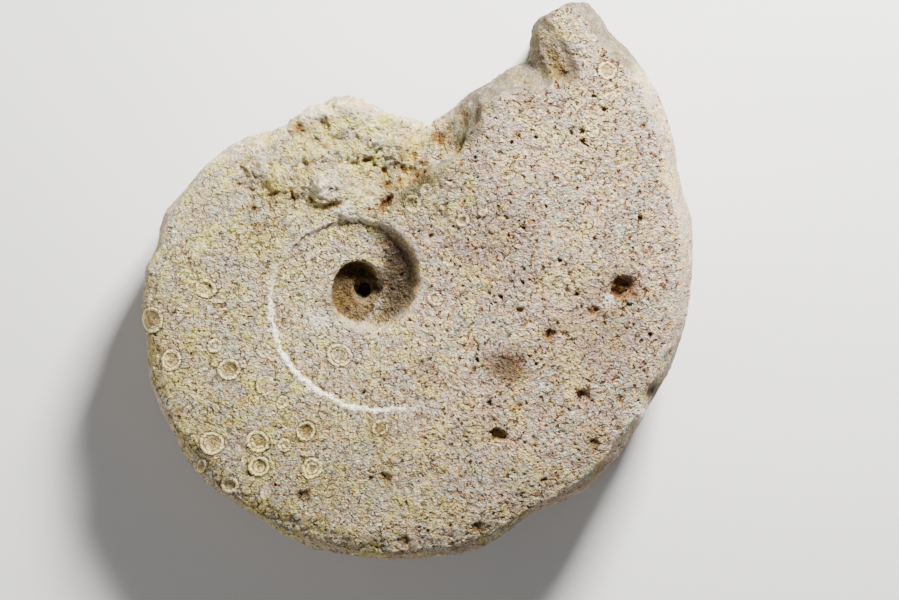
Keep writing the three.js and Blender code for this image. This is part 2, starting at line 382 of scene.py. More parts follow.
HOLLOWS = (
    Hollow(47.2, 0.1, 2.6, 0.7, 0.7, 0.85, 20), Hollow(46.2, -0.5, 0.9, 0.9, 1.5),
    Hollow(49.3, -1.2, 0.7, 0.5, 0.9), Hollow(41.6, -4.2, 1.6, 0.5, 0.45, 0.6, 20),
    Hollow(42.2, -3.9, 0.7, 0.5, 0.8, 0.6, 20), Hollow(38.7, -1.1, 0.6, 0.6, 0.7),
    Hollow(28.5, -4.0, 0.75, 0.7, 0.8), Hollow(35.3, -6.3, 0.5, 0.5, 0.8),
    Hollow(33.9, -8.3, 1.2, 0.5, 0.7, 0.8, 60), Hollow(40.1, -19.7, 1.5, 0.5, 0.5),
    Hollow(39.6, -19.2, 0.7, 0.3, 0.4), Hollow(46.7, -20.0, 0.9, 0.5, 0.6),
    Hollow(42.1, -28.3, 1.1, 0.5, 0.5), Hollow(38.4, -28.3, 0.55, 0.5, 0.6),
    Hollow(24.6, -26.6, 1.8, 0.8, 0.6, 0.7, -10), Hollow(25.0, -27.0, 0.8, 0.3, 0.4),
    Hollow(23.9, -24.1, 0.9, 0.5, 0.5), Hollow(28.4, -21.5, 0.9, 0.6, 0.6),
    Hollow(21.7, -21.9, 0.7, 0.5, 0.5), Hollow(24.8, -21.5, 0.55, 0.4, 0.4),
    Hollow(4.2, -34.4, 1.2, 0.5, 0.5), Hollow(1.5, -34.4, 0.55, 0.5, 0.7),
    Hollow(-10.7, -38.0, 1.5, 0.2, 0.3), Hollow(21.0, -43.5, 1.3, 0.5, 0.6),
    Hollow(7.6, -45.9, 1.2, 0.5, 0.5), Hollow(31.5, -32.8, 0.65, 0.5, 0.6),
    Hollow(32.7, -34.9, 0.8, 0.4, 0.5, 0.5, 40), Hollow(28.9, -37.4, 0.7, 0.4, 0.5, 0.5, 60),
    Hollow(11.9, -44.0, 0.5, 0.5, 0.6), Hollow(15.9, -43.1, 0.5, 0.5, 0.6),
    Hollow(-15.9, -35.6, 0.4, 0.5, 0.7), Hollow(-3.3, -33.0, 0.4, 0.4, 0.7),
    Hollow(51.0, 29.3, 0.75, 0.5, 0.3), Hollow(55.2, 26.5, 0.95, 0.5, 0.3),
    Hollow(28.1, 27.5, 0.75, 0.6, 0.5), Hollow(30.0, 33.5, 0.7, 0.6, 0.6),
    Hollow(40.2, 41.7, 0.5, 0.4, 0.3), Hollow(-11.7, 29.4, 1.2, 0.8, 0.9, 0.8),
    Hollow(-22.8, 19.1, 1.1, 0.5, 0.5, 0.5, -38), Hollow(-20.4, 18.0, 1.2, 0.5, 0.5, 0.4, -15),
    Hollow(-16.6, 17.2, 1.4, 0.5, 0.5, 0.35, 20), Hollow(-12.8, 16.9, 1.7, 0.5, 0.6, 0.25, -70),
    Hollow(-9.3, 16.2, 0.7, 0.6, 0.6), Hollow(-5.6, 15.2, 1.9, 0.5, 0.6, 0.42, 12),
    Hollow(-12.1, 22.3, 0.5, 0.5, 0.9, 0.5, 0), Hollow(-19.9, 14.8, 0.6, 0.5, 0.9),
    Hollow(-18.6, 11.5, 3.6, 0.4, 0.6, 0.08, -4), Hollow(1.1, 23.5, 1.6, 0.6, 0.6, 0.35, 15),
    Hollow(9.4, 24.4, 1.1, 0.8, 0.8, 0.45, 90), Hollow(4.4, 18.9, 0.9, 0.7, 0.9),
    Hollow(6.7, 19.6, 0.9, 0.7, 0.9, 0.7, 50), Hollow(3.7, 21.5, 0.7, 0.6, 0.8),
    Hollow(7.4, 21.9, 0.8, 0.5, 0.7), Hollow(4.1, 15.5, 2.1, 1.0, 0.9, 0.36, 48),
    Hollow(9.7, 20.7, 0.6, 0.7, 0.9), Hollow(11.0, 21.3, 0.6, 0.7, 0.9), Hollow(11.4, 23.0, 0.8, 0.4, 0.7),
    Hollow(13.9, 27.6, 1.3, 0.6, 0.8), Hollow(17.2, 25.6, 1.6, 0.1, 0.35, 0.35, 50),
    Hollow(18.4, 31.9, 0.9, 0.15, 0.4), Hollow(18.4, 30.4, 0.7, 0.15, 0.4),
    Hollow(1.0, 14.2, 0.6, 0.4, 0.6), Hollow(-4.6, 33.2, 0.4, 0.4, 0.4), Hollow(-1.7, 33.4, 0.4, 0.4, 0.4),
)

LUMPS = (
    Lump(-7.0, 17.9, 2.3, 0.6, 0.8, 20), Lump(-15.6, 15.7, 1.3, 0.45), Lump(-9.6, 31.8, 2.6, 0.7, 0.7, 20),
    Lump(-19.0, 20.6, 2.2, 0.5, 0.6, -30), Lump(-3.6, 14.3, 2.6, 0.5, 0.35, 14),
    Lump(1.2, 18.4, 1.6, 0.5, 0.6, 40), Lump(-22.0, 21.8, 2.4, -0.5, 0.6, -40),
    Lump(-13.4, 27.4, 2.6, -0.5, 0.5, 25), Lump(-8.6, 29.9, 2.2, -0.4, 0.45, 12),
    Lump(-14.0, 19.6, 2.0, 0.4), Lump(-25.6, 17.6, 2.2, 0.4, 0.6, 50), Lump(4.8, 29.4, 1.8, -0.6),
    Lump(2.0, 26.6, 2.2, 0.4), Lump(-3.0, 28.6, 2.6, 0.35, 0.6, -10), Lump(5.4, 20.2, 3.2, -0.7, 0.8, 20),
    Lump(9.0, 17.6, 2.0, 0.5, 0.5, 38), Lump(13.4, 20.6, 3.0, 0.45, 0.35, 38), Lump(7.0, 26.0, 1.6, 0.5),
    Lump(-9.5, 24.0, 2.4, 0.4, 0.7, 30), Lump(50.9, -23.3, 1.9, 0.7, 0.9),
    Lump(49.6, -22.4, 1.6, -0.5, 0.3, 70), Lump(53.3, -19.0, 1.6, -0.6, 0.8), Lump(-0.8, 2.4, 3.2, -0.8),
    Lump(-2.8, -2.0, 2.4, -0.5),
)

BROKEN_FACES = (
    Stain(34.6, 43.3, 4.6, 0.55, 0.5, -60), Stain(28.0, 39.0, 6.0, 1.0, 0.5, 35),
    Stain(18.8, 29.6, 3.4, 1.0), Stain(11.9, 20.4, 6.5, 0.8, 0.2, 36), Stain(21.8, 34.0, 2.6, 0.7),
)


class Shade(Enum):
    """The stains of the stone's finish, each by its mask's name; the umber mask also holds painted shade."""

    RUST = "stain_rust"
    UMBER = "stain_umber"
    WELL = "stain_well"
    ROSE = "stain_rose"
    PALE = "stain_pale"
    WARM = "stain_warm"


STAINS: dict[Shade, tuple[Stain, ...]] = {
    Shade.RUST: (
        Stain(5.6, 19.6, 3.6, 0.4, 1.2, 15), Stain(8.6, 25.0, 3.2, 0.35), Stain(-11.5, 29.6, 1.8, 0.7),
        Stain(-9.0, 29.9, 2.4, 0.45, 0.4, 10), Stain(-20.0, 14.8, 1.2, 0.7),
        Stain(4.1, 15.6, 2.4, 0.7, 0.6, 48), Stain(-18.6, 10.9, 4.0, 0.35, 0.3, -4),
        Stain(10.6, 21.2, 2.0, 0.6), Stain(14.0, 27.8, 2.0, 0.45), Stain(-22.0, 19.2, 2.2, 0.3, 0.6, -38),
        Stain(-16.0, 16.4, 1.8, 0.3), Stain(-6.0, 15.4, 2.4, 0.6, 0.6, 12), Stain(-8.0, 22.0, 5.0, 0.2),
        Stain(35.6, 40.1, 3.4, 0.9, 0.6, -60), Stain(33.8, 45.0, 2.4, 0.3, 0.6, -70),
        Stain(30.0, 33.6, 1.8, 0.5), Stain(43.5, 41.0, 1.6, 0.4), Stain(-10.0, -26.0, 2.0, 0.45),
        Stain(-36.0, -10.0, 5.0, 0.25), Stain(3.0, -25.4, 2.2, 0.5), Stain(42.0, -27.6, 2.0, 0.4),
        Stain(-5.0, -3.5, 2.6, 0.5),
    ),
    Shade.UMBER: (
        Stain(26.2, -13.6, 1.4, 0.15, 0.75, 0), Stain(34.0, -8.4, 1.8, 0.3), Stain(53.3, -19.0, 1.8, 0.6),
        Stain(16.6, 26.4, 1.8, 0.15),
    ),
    Shade.ROSE: (
        Stain(26.2, -14.0, 3.4, 1.3, 0.8, 0), Stain(43.7, -7.6, 8.0, 0.35),
        Stain(18.6, 28.6, 3.0, 0.12, 1.4, 0), Stain(18.4, 31.4, 1.8, 0.2), Stain(47.0, 0.5, 3.4, 0.5),
        Stain(17.0, 25.6, 1.8, 0.12), Stain(10.8, 21.4, 1.6, 0.4), Stain(11.8, -14.6, 3.0, 0.2),
        Stain(25.0, 8.0, 7.0, 0.2),
    ),
    Shade.PALE: (
        Stain(50.9, -23.3, 1.8, 0.9), Stain(44.6, -2.0, 1.0, 0.9), Stain(-3.8, 14.4, 2.6, 0.7, 0.35, 12),
        Stain(-7.2, 18.2, 2.0, 0.6), Stain(-7.8, -6.0, 3.4, 0.65, 0.6, -40), Stain(-10.0, 31.6, 2.0, 0.4),
    ),
}

GRAIN_MASKS = (("Smooth", "stone_smooth"), ("Crackle", Shade.WARM.value), ("Worn", "stone_worn"))


@dataclass(frozen=True)
class SeamReading:
    """What the umbilical seam does at each point. height and gap are in millimetres, the rest from 0 to 1."""

    height: np.ndarray
    gap: np.ndarray
    lip: np.ndarray
    shade: np.ndarray
    grey: np.ndarray


@dataclass(frozen=True)
class RingReading:
    """What the silica rings do at each point. height and edge are in millimetres, the rest from 0 to 1."""

    height: np.ndarray
    edge: np.ndarray
    core: np.ndarray
    double: np.ndarray
    bold: np.ndarray


@dataclass(frozen=True)
class Relief:
    """Forms the small relief of the stone, and the masks that its finish reads.

    Places and depths are in millimetres. The keys are pairs of an angle in degrees and a value. The ramp is
    the slope that the hollow at the mouth's tip is filled up to, the border parts the eroded stretch from
    the last whorl, and hidden rings and pits lie on the sides and the lower flank.
    """

    coil: Coil
    lip_mm: float = 0.5
    groove_mm: float = 0.35
    seam_waves: tuple[tuple[float, float, float], ...] = (
        (0.16, 9.0, 1.0), (0.14, 23.0, 0.0), (0.12, 57.0, 2.0),
    )
    ring_rise_mm: float = 0.12
    ring_dish_mm: float = 0.2
    pit_rim: float = 0.1
    pit_floor: float = 0.8
    far_mm: float = 9.0
    scatter_seed: int = 11
    hidden_rings: int = 44
    hidden_pits: int = 60
    hidden_out: tuple[float, float] = (18.0, 62.0)
    hidden_edge: float = 44.0
    hidden_rise: tuple[float, float] = (-9.0, 2.0)
    hidden_under: float = -16.0
    well_middle: tuple[float, float] = (-1.5, -0.5)
    well_half: tuple[float, float] = (4.1, 5.2)
    ramp_middle: tuple[float, float] = (37.2, 42.7)
    ramp_way: tuple[float, float] = (0.469, -0.883)
    ramp_top: float = 15.7
    ramp_edge: float = 15.4
    ramp_across: float = 0.42
    ramp_along: float = 0.25
    ramp_most: float = 2.5
    border_foot: tuple[float, float] = (3.0, 15.6)
    border_bend: tuple[float, float] = (18.1, 26.1)
    border_out: float = 1.44
    border_back: float = 1.4
    # How high and how pale the lip is by angle. The paleness is lighter stone and a painted highlight, most
    # where the step faces the key light.
    lip_keys: Keys = (
        (66, 0.0), (95, 0.4), (125, 0.6), (150, 0.4), (172, 0.15), (180, 0.6), (190, 1.0), (262, 1.0),
        (284, 0.6), (298, 0.0),
    )
    # Strength of the painted shade, mixed with a brown stain, in the umbilicus by angle: most where the wall
    # is out of the key light. The streak at 161 to 171 degrees is painted shade below the step.
    shade_keys: Keys = (
        (-85, 0.0), (-45, 0.7), (-15, 1.0), (45, 1.0), (70, 0.65), (95, 0.25), (125, 0.08), (150, 0.1),
        (161, 0.7), (171, 0.7), (178, 0.0),
    )
    reach_keys: Keys = (
        (-90, 1.6), (-45, 5.0), (0, 9.0), (45, 7.6), (70, 4.6), (90, 3.0), (120, 1.8), (150, 1.2),
        (180, 1.2),
    )
    crest_keys: Keys = (
        (-90, 0.6), (-30, 1.0), (0, 1.6), (55, 2.0), (90, 0.8), (150, 0.1), (180, 0.1),
    )

    def seam(self, stone: Stone) -> SeamReading:
        """Works out the seam's pale lip, the groove at its foot and the wall's stain and painted shade.

        Args:
            stone: the surface.

        Returns:
            The seam's reading.
        """
        wobble = sum(size * ripple(stone.turned, waves, start) for size, waves, start in self.seam_waves)
        outer = stone.radius - self.coil.seam_radius(stone.turned) + wobble
        lip = follow(self.lip_keys, stone.turned) * stone.upper
        lip = lip * (0.86 + 0.14 * ripple(stone.turned, 31.0, 0.5) * ripple(stone.turned, 13.0, 2.5))
        height = self.lip_mm * smoothstep(outer, -0.5, -0.05) * smoothstep(outer, 0.95, 0.35)
        height = lip * (height - self.groove_mm * bell(outer + 0.8, 0.3))
        shade, grey = np.zeros(len(outer)), np.zeros(len(outer))
        # shade is a brown stain mixed with painted shade, along both turns of the seam.
        for at in (stone.turned, stone.turned - 360.0):
            gap = stone.radius - self.coil.seam_radius(at)
            crest = follow(self.crest_keys, at)
            foot = smoothstep(gap / follow(self.reach_keys, at), -1.0, -0.45)
            band = foot * smoothstep(gap, 0.85 * crest, -1.7)
            shade = np.maximum(shade, follow(self.shade_keys, at) * band)
            top = smoothstep(gap, -1.2, -0.2) * smoothstep(gap, 2.6, 1.0)
            top *= smoothstep(np.abs(at - 30.0), 80.0, 40.0)
            grey = np.maximum(grey, top * stone.upper)
        shade = shade * stone.upper
        return SeamReading(height, np.clip(outer, -4.0, 4.0), lip, shade, grey)

    def hollows(self, stone: Stone) -> tuple[np.ndarray, np.ndarray]:
        """Works out the solution pits and small breaks.

        Args:
            stone: the surface.

        Returns:
            Height in millimetres, and how brown the pits are.
        """
        height = np.zeros(len(stone.radius))
        brown = np.zeros(len(stone.radius))
        for spot in HOLLOWS:
            near = stone.within(spot.x, spot.y, 2.4 * spot.radius)
            around = np.arctan2(stone.place[near, 1] - spot.y, stone.place[near, 0] - spot.x)
            away = stone.oval_distance(near, spot) / spot.radius
            away = away + 0.07 * np.sin(3.0 * around + spot.x) + 0.06 * np.sin(5.0 * around + 2.0 * spot.y)
            shape = self.pit_rim * bell(away - 1.2, 0.25) - self.pit_floor * smoothstep(away, 1.15, 0.3)
            height[near] += spot.depth * shape
            brown[near] = np.maximum(brown[near], spot.brown * smoothstep(away, 1.2, 0.5))
        for centre, size in self.hidden(stone, self.hidden_pits, 0.5, 1.5, 7):
            away = np.linalg.norm(stone.place - centre, axis=1) / size
            height -= size * 0.5 * smoothstep(away, 1.2, 0.0)
            brown = np.maximum(brown, 0.8 * smoothstep(away, 1.3, 0.1))
        return height, brown

    def lumps(self, stone: Stone) -> np.ndarray:
        """Works out the soft swellings and dips.

        Args:
            stone: the surface.

        Returns:
            Height in millimetres.
        """
        height = np.zeros(len(stone.radius))
        for spot in LUMPS:
            near = stone.within(spot.x, spot.y, 3.0 * spot.radius)
            height[near] += spot.height * bell(stone.oval_distance(near, spot) / spot.radius, 1.0)
        top = smoothstep(stone.place[:, 2], 7.0, 12.0)
        return height * np.maximum(top, smoothstep(stone.radius, 30.0, 25.0))

    def hidden(
        self, stone: Stone, count: int, small: float, large: float, salt: int
    ) -> list[tuple[np.ndarray, float]]:
        """Scatters spots over the outer edge and the lower flank.

        Args:
            stone: the surface.
            count: how many spots.
            small: least radius in millimetres.
            large: greatest radius.
            salt: keeps one kind of spot off another.

        Returns:
            Pairs of a middle and a radius.
        """
        rng = np.random.default_rng(self.scatter_seed + salt)
        spots = []
        for _ in range(count):
            angle = rng.uniform(0.0, 2.0 * math.pi)
            out = rng.uniform(*self.hidden_out)
            height = rng.uniform(*self.hidden_rise) if out > self.hidden_edge else self.hidden_under
            aim = np.array([out * math.cos(angle), out * math.sin(angle), height])
            nearest = stone.place[np.argmin(((stone.place - aim) ** 2).sum(axis=1))]
            spots.append((nearest, rng.uniform(small, large)))
        return spots

    def rings(self, stone: Stone) -> RingReading:
        """Works out the silica rings.

        Args:
            stone: the surface.

        Returns:
            The rings' reading. Its edge is the distance from the nearest outline, with the inside negative.
        """
        count = len(stone.radius)
        height, core, double, bold = (np.zeros(count) for _ in range(4))
        read = RingReading(height, np.full(count, self.far_mm), core, double, bold)

        def add(near: np.ndarray, gap: np.ndarray, core: float, double: float, bold: float) -> None:
            """Adds one ring.

            Args:
                near: indices of the points around it.
                gap: their distance from its outline, in millimetres, with the inside negative.
                core: how brown its middle is.
                double: strength of a second ring inside.
                bold: how plainly it stands out.
            """
            dish = self.ring_dish_mm * smoothstep(gap, -0.5, -1.2)
            read.height[near] += bold * (self.ring_rise_mm * bell(gap + 0.45, 0.4) - dish)
            closer = np.abs(gap) < np.abs(read.edge[near])
            for values, value in ((read.core, core), (read.double, double), (read.bold, bold)):
                values[near[closer]] = value
            read.edge[near[closer]] = gap[closer]

        for number, spot in enumerate(RINGS):
            near = stone.within(spot.x, spot.y, 2.2 * spot.radius * max(1.0, spot.squash))
            away = stone.oval_distance(near, spot)
            around = np.arctan2(stone.place[near, 1] - spot.y, stone.place[near, 0] - spot.x)
            wobble = 1.0 + 0.05 * np.sin(2 * around + number) + 0.02 * np.sin(3 * around + 2.0 * number)
            add(near, away * wobble - spot.radius, spot.core, spot.double, spot.bold)
        rng = np.random.default_rng(self.scatter_seed)
        for centre, size in self.hidden(stone, self.hidden_rings, 1.1, 2.4, 0):
            away = np.linalg.norm(stone.place - centre, axis=1)
            near = np.flatnonzero(away < 2.0 * size)
            add(near, away[near] - size, rng.uniform(0.1, 0.7), rng.uniform(0.0, 1.0), rng.uniform(0.6, 1.0))
        return read

    def mouth_fill(self, stone: Stone) -> np.ndarray:
        """Fills the hollow at the mouth's tip up to a gentle ramp.

        Args:
            stone: the surface.

        Returns:
            Height in millimetres.
        """
        along, across = stone.slanted(self.ramp_middle, self.ramp_way)
        ramp = self.ramp_edge + self.ramp_across * np.minimum(across - 1.0, 0.0)
        ramp = np.minimum(ramp + self.ramp_along * np.maximum(along, 0.0), self.ramp_top)
        within = smoothstep(np.abs(across + 1.0), 5.5, 3.5) * smoothstep(np.abs(along - 0.5), 8.0, 5.5)
        lift = np.clip(ramp - stone.place[:, 2], 0.0, self.ramp_most)
        return within * stone.upper * lift * np.abs(stone.normal[:, 2])

    def well(self, stone: Stone) -> np.ndarray:
        """Measures from the middle of the umbilicus's well, with 1 at its rim."""
        (x, y), (wide, high) = self.well_middle, self.well_half
        return np.hypot((stone.place[:, 0] - x) / wide, (stone.place[:, 1] - y) / high)

    def stains(self, stone: Stone, shade: Shade) -> np.ndarray:
        """Works out one kind of stain.

        Args:
            stone: the surface.
            shade: which stain.

        Returns:
            Its strength, from 0 to 1.
        """
        x, y, z = stone.place.T
        strength = np.zeros(len(stone.radius))
        for spot in STAINS.get(shade, ()):
            near = stone.within(spot.x, spot.y, 3.0 * spot.radius * max(1.0, spot.squash))
            strength[near] += spot.strength * bell(stone.oval_distance(near, spot) / spot.radius, 1.0)
        if shade is Shade.PALE:
            strength *= smoothstep(z, 6.0, 12.0)
        if shade is Shade.WARM:
            # Warmer to the left and the bottom and on the eroded stretch, and less on the sides.
            strength += smoothstep(x, 30.0, -20.0) * 0.8 + smoothstep(y, -10.0, -40.0) * 0.4
            strength += 0.5 * smoothstep(stone.radius, 33.0, 28.0) * smoothstep(y, 12.0, 17.0)
            strength *= 1.0 - 0.45 * smoothstep(np.abs(stone.normal[:, 2]), 0.7, 0.3)
        if shade is Shade.UMBER:
            # Painted shade: darker towards the bottom, where the light falls off,
            # and in the upper half of the well, whose wall is out of the key light.
            strength += 0.1 * smoothstep(y, -5.0, -42.0)
            well = self.well(stone)
            strength += stone.upper * 0.3 * smoothstep(y - 0.3 * x, -1.0, 3.5) * smoothstep(well, 1.02, 0.9)
        if shade is Shade.WELL:
            well = self.well(stone) + 0.04 * np.sin(5.0 * np.arctan2(y, x))
            strength += stone.upper * smoothstep(well, 1.07, 0.97)
            strength -= stone.upper * 0.12 * smoothstep(0.8 * x - y, 0.5, 4.0)
        return np.clip(strength, 0.0, 1.0)

    def worn(self, stone: Stone) -> np.ndarray:
        """Says how far each point lies in the eroded stretch between the mouth and the left edge.

        Args:
            stone: the surface.

        Returns:
            Numbers from 0 to 1.
        """
        x, y, z = stone.place.T
        (foot_x, foot_y), (bend_x, bend_y) = self.border_foot, self.border_bend
        below, above = foot_x + self.border_out * (y - foot_y), bend_x - self.border_back * (y - bend_y)
        border = np.where(y < bend_y, below, above)
        outside = stone.radius - self.coil.seam_radius(stone.turned)
        worn = smoothstep(y + 0.1 * x, 12.0, 16.0) * smoothstep(x - border, 0.8, -1.2)
        worn *= smoothstep(x, -28.0, -20.0)
        worn *= smoothstep(outside, 0.4, 2.0) * smoothstep(z, -8.0, 2.0)
        return np.maximum(worn, 0.45 * self.broken(stone) * smoothstep(z, 9.0, 4.0))

    def plain(self, stone: Stone, seam: SeamReading, rings: RingReading) -> np.ndarray:
        """Says how much smoother than the flanks' grain the stone is.

        Args:
            stone: the surface.
            seam: its seam's reading.
            rings: its rings' reading.

        Returns:
            Numbers from 0 to 1.
        """
        x, y, z = stone.place.T
        edge = smoothstep(self.coil.venter_radius(stone.turned) - stone.radius, 8.0, 2.0)
        edge *= smoothstep(x, 20.0, 40.0)
        plain = 0.3 * edge + 0.85 * self.broken(stone) + 0.9 * seam.lip * bell(seam.gap, 0.9)
        plain += 0.55 * self.worn(stone)
        plain += 0.6 * rings.bold * smoothstep(rings.edge, 0.0, -0.4) + 0.5 * seam.grey
        # The upper left of the flank, and the sides.
        plain += 0.4 * smoothstep(x, -18.0, -26.0) * smoothstep(y, 0.0, 10.0)
        plain += 0.5 * smoothstep(stone.normal[:, 2], 0.97, 0.7) * smoothstep(z, -8.0, 0.0)
        return np.clip(plain, 0.0, 1.0)

    def broken(self, stone: Stone) -> np.ndarray:
        """Says how far each point lies on the broken mouth, whose faces are smoother than the flanks.

        Args:
            stone: the surface.

        Returns:
            Numbers from 0 to 1.
        """
        x, y, z = stone.place.T
        region = smoothstep(y - 0.8 * x, -2.0, 3.0) * smoothstep(x, 14.0, 18.0) * smoothstep(y, 24.0, 28.0)
        broken = region * np.maximum(smoothstep(stone.normal[:, 2], 0.9, 0.7), smoothstep(z, 11.6, 10.4))
        for spot in BROKEN_FACES:
            near = stone.within(spot.x, spot.y, 1.3 * spot.radius)
            face = spot.strength * smoothstep(stone.oval_distance(near, spot) / spot.radius, 1.15, 0.8)
            broken[near] = np.maximum(broken[near], face)
        return broken


class TreeKind(Enum):
    """Which sort of node tree a pattern is built in."""

    SHADER = "ShaderNodeTree"
    GEOMETRY = "GeometryNodeTree"


@dataclass(frozen=True)
class Wiring:
    """Adds nodes to a tree and links them, so that a pattern reads as a list of steps."""

    tree: bpy.types.NodeTree

    def node(self, kind: str, **settings: object) -> bpy.types.Node:
        """Adds a node.

        Args:
            kind: the node's type name.
            settings: its properties, by name.

        Returns:
            The node.
        """
        made = self.tree.nodes.new(kind)
        for name, value in settings.items():
            setattr(made, name, value)
        return made

    def put(self, socket: Socket, value: object) -> None:
        """Links a socket to another, or gives it a constant.

        Args:
            socket: the input.
            value: what goes in.
        """
        if isinstance(value, Socket):
            self.tree.links.new(value, socket)
        elif value is not None:
            socket.default_value = value

    def math(self, operation: str, a: Value, b: Value = 0.0, clamp: bool = False) -> Socket:
        """Does a sum on one or two values.

        Args:
            operation: the Math node's operation.
            a: the first value.
            b: the second value.
            clamp: keeps the result from 0 to 1.

        Returns:
            The result.
        """
        made = self.node("ShaderNodeMath", operation=operation, use_clamp=clamp)
        self.put(made.inputs[0], a)
        self.put(made.inputs[1], b)
        return made.outputs[0]

    def plus(self, *terms: Value) -> Socket:
        """Adds up several values.

        Args:
            terms: the values.

        Returns:
            Their sum.
        """
        total = terms[0]
        for term in terms[1:]:
            total = self.math("ADD", total, term)
        return total

    def times(self, *factors: Value) -> Socket:
        """Multiplies several values.

        Args:
            factors: the values.

        Returns:
            Their product.
        """
        product = factors[0]
        for factor in factors[1:]:
            product = self.math("MULTIPLY", product, factor)
        return product

    def vector(self, operation: str, a: object, b: object = None, scale: Value = None) -> Socket:
        """Does a sum on vectors.

        Args:
            operation: the Vector Math node's operation.
            a: the first vector.
            b: the second vector, where there is one.
            scale: the number that the first is scaled by, where there is one.

        Returns:
            The resulting vector.
        """
        made = self.node("ShaderNodeVectorMath", operation=operation)
        self.put(made.inputs[0], a)
        if b is not None:
            self.put(made.inputs[1], b)
        if scale is not None:
            self.put(made.inputs["Scale"], scale)
        return made.outputs[0]

    def fade(self, value: Value, low: Value, high: Value, start: Value = 0.0, end: Value = 1.0) -> Socket:
        """Steps smoothly from one value to another.

        Args:
            value: the value to map.
            low: where the step starts; it may be above high.
            high: where it ends.
            start: the result at low.
            end: the result at high.

        Returns:
            The mapped value.
        """
        made = self.node("ShaderNodeMapRange", interpolation_type="SMOOTHSTEP")
        for number, given in enumerate((value, low, high, start, end)):
            self.put(made.inputs[number], given)
        return made.outputs[0]

    def swing(self, value: Value, start: float, end: float) -> Socket:
        """Goes smoothly from start, where a value is 0, to end, where it is 1."""
        return self.fade(value, 0.0, 1.0, start, end)

    def peak(self, value: Value, middle: float, half_width: float) -> Socket:
        """Peaks smoothly, 1 at the middle and 0 from half a width away.

        Args:
            value: the value to map.
            middle: where the peak is.
            half_width: how far it reaches each way.

        Returns:
            The mapped value.
        """
        away = self.math("ABSOLUTE", self.math("SUBTRACT", value, middle))
        return self.fade(away, half_width, 0.0)

    def noise(
        self, place: object, scale: float, detail: float = 2.0, rough: float = 0.5, colour: bool = False
    ) -> Socket:
        """Makes cloudy noise.

        Args:
            place: where to read it, in millimetres.
            scale: clouds to a millimetre.
            detail: how many finer layers it has.
            rough: how strong they are.
            colour: gives three noises as one colour.

        Returns:
            The noise, around one half.
        """
        made = self.node("ShaderNodeTexNoise")
        self.put(made.inputs["Vector"], place)
        made.inputs["Scale"].default_value = scale
        made.inputs["Detail"].default_value = detail
        made.inputs["Roughness"].default_value = rough
        return made.outputs["Color" if colour else "Fac"]

    def sway(self, place: object, scale: float, detail: float = 2.0, rough: float = 0.5) -> Socket:
        """Makes the same cloudy noise, around zero."""
        return self.math("SUBTRACT", self.noise(place, scale, detail, rough), NOISE_MIDDLE)

    def cells(self, place: object, scale: float, feature: str) -> Sockets:
        """Makes a pattern of cells.

        Args:
            place: where to read it, in millimetres.
            scale: cells to a millimetre.
            feature: what is measured, as the Voronoi node names it.

        Returns:
            The node's outputs.
        """
        made = self.node("ShaderNodeTexVoronoi", feature=feature)
        self.put(made.inputs["Vector"], place)
        made.inputs["Scale"].default_value = scale
        return made.outputs

    def blend(self, share: Value, first: object, second: object, mode: str = "MIX") -> Socket:
        """Mixes two colours.

        Args:
            share: how much of the second shows.
            first: the colour beneath.
            second: the colour laid over it.
            mode: how they are mixed, as the Mix node names it.

        Returns:
            The mixed colour.
        """
        made = self.node("ShaderNodeMix", data_type="RGBA", blend_type=mode, clamp_factor=True)
        self.put(made.inputs[0], share)
        self.put(made.inputs[6], first)
        self.put(made.inputs[7], second)
        return made.outputs[2]

    def tinge(self, amount: Value, base: object, tint: object) -> Socket:
        """Multiplies a colour by a tint, in steps that look even.

        Args:
            amount: how far, from 0 for not at all to 1 for the whole tint.
            base: the colour beneath.
            tint: what it is multiplied by where the amount is 1.

        Returns:
            The tinted colour.
        """
        made = self.node("ShaderNodeGamma")
        self.put(made.inputs["Color"], tint)
        self.put(made.inputs["Gamma"], amount)
        return self.blend(1.0, base, made.outputs[0], "MULTIPLY")

    def parts(self, colour: Socket) -> Sockets:
        """Splits a colour.

        Args:
            colour: the colour.

        Returns:
            Its three channels.
        """
        shading = self.tree.bl_idname == TreeKind.SHADER.value
        made = self.node("ShaderNodeSeparateColor" if shading else "FunctionNodeSeparateColor")
        self.put(made.inputs[0], colour)
        return made.outputs


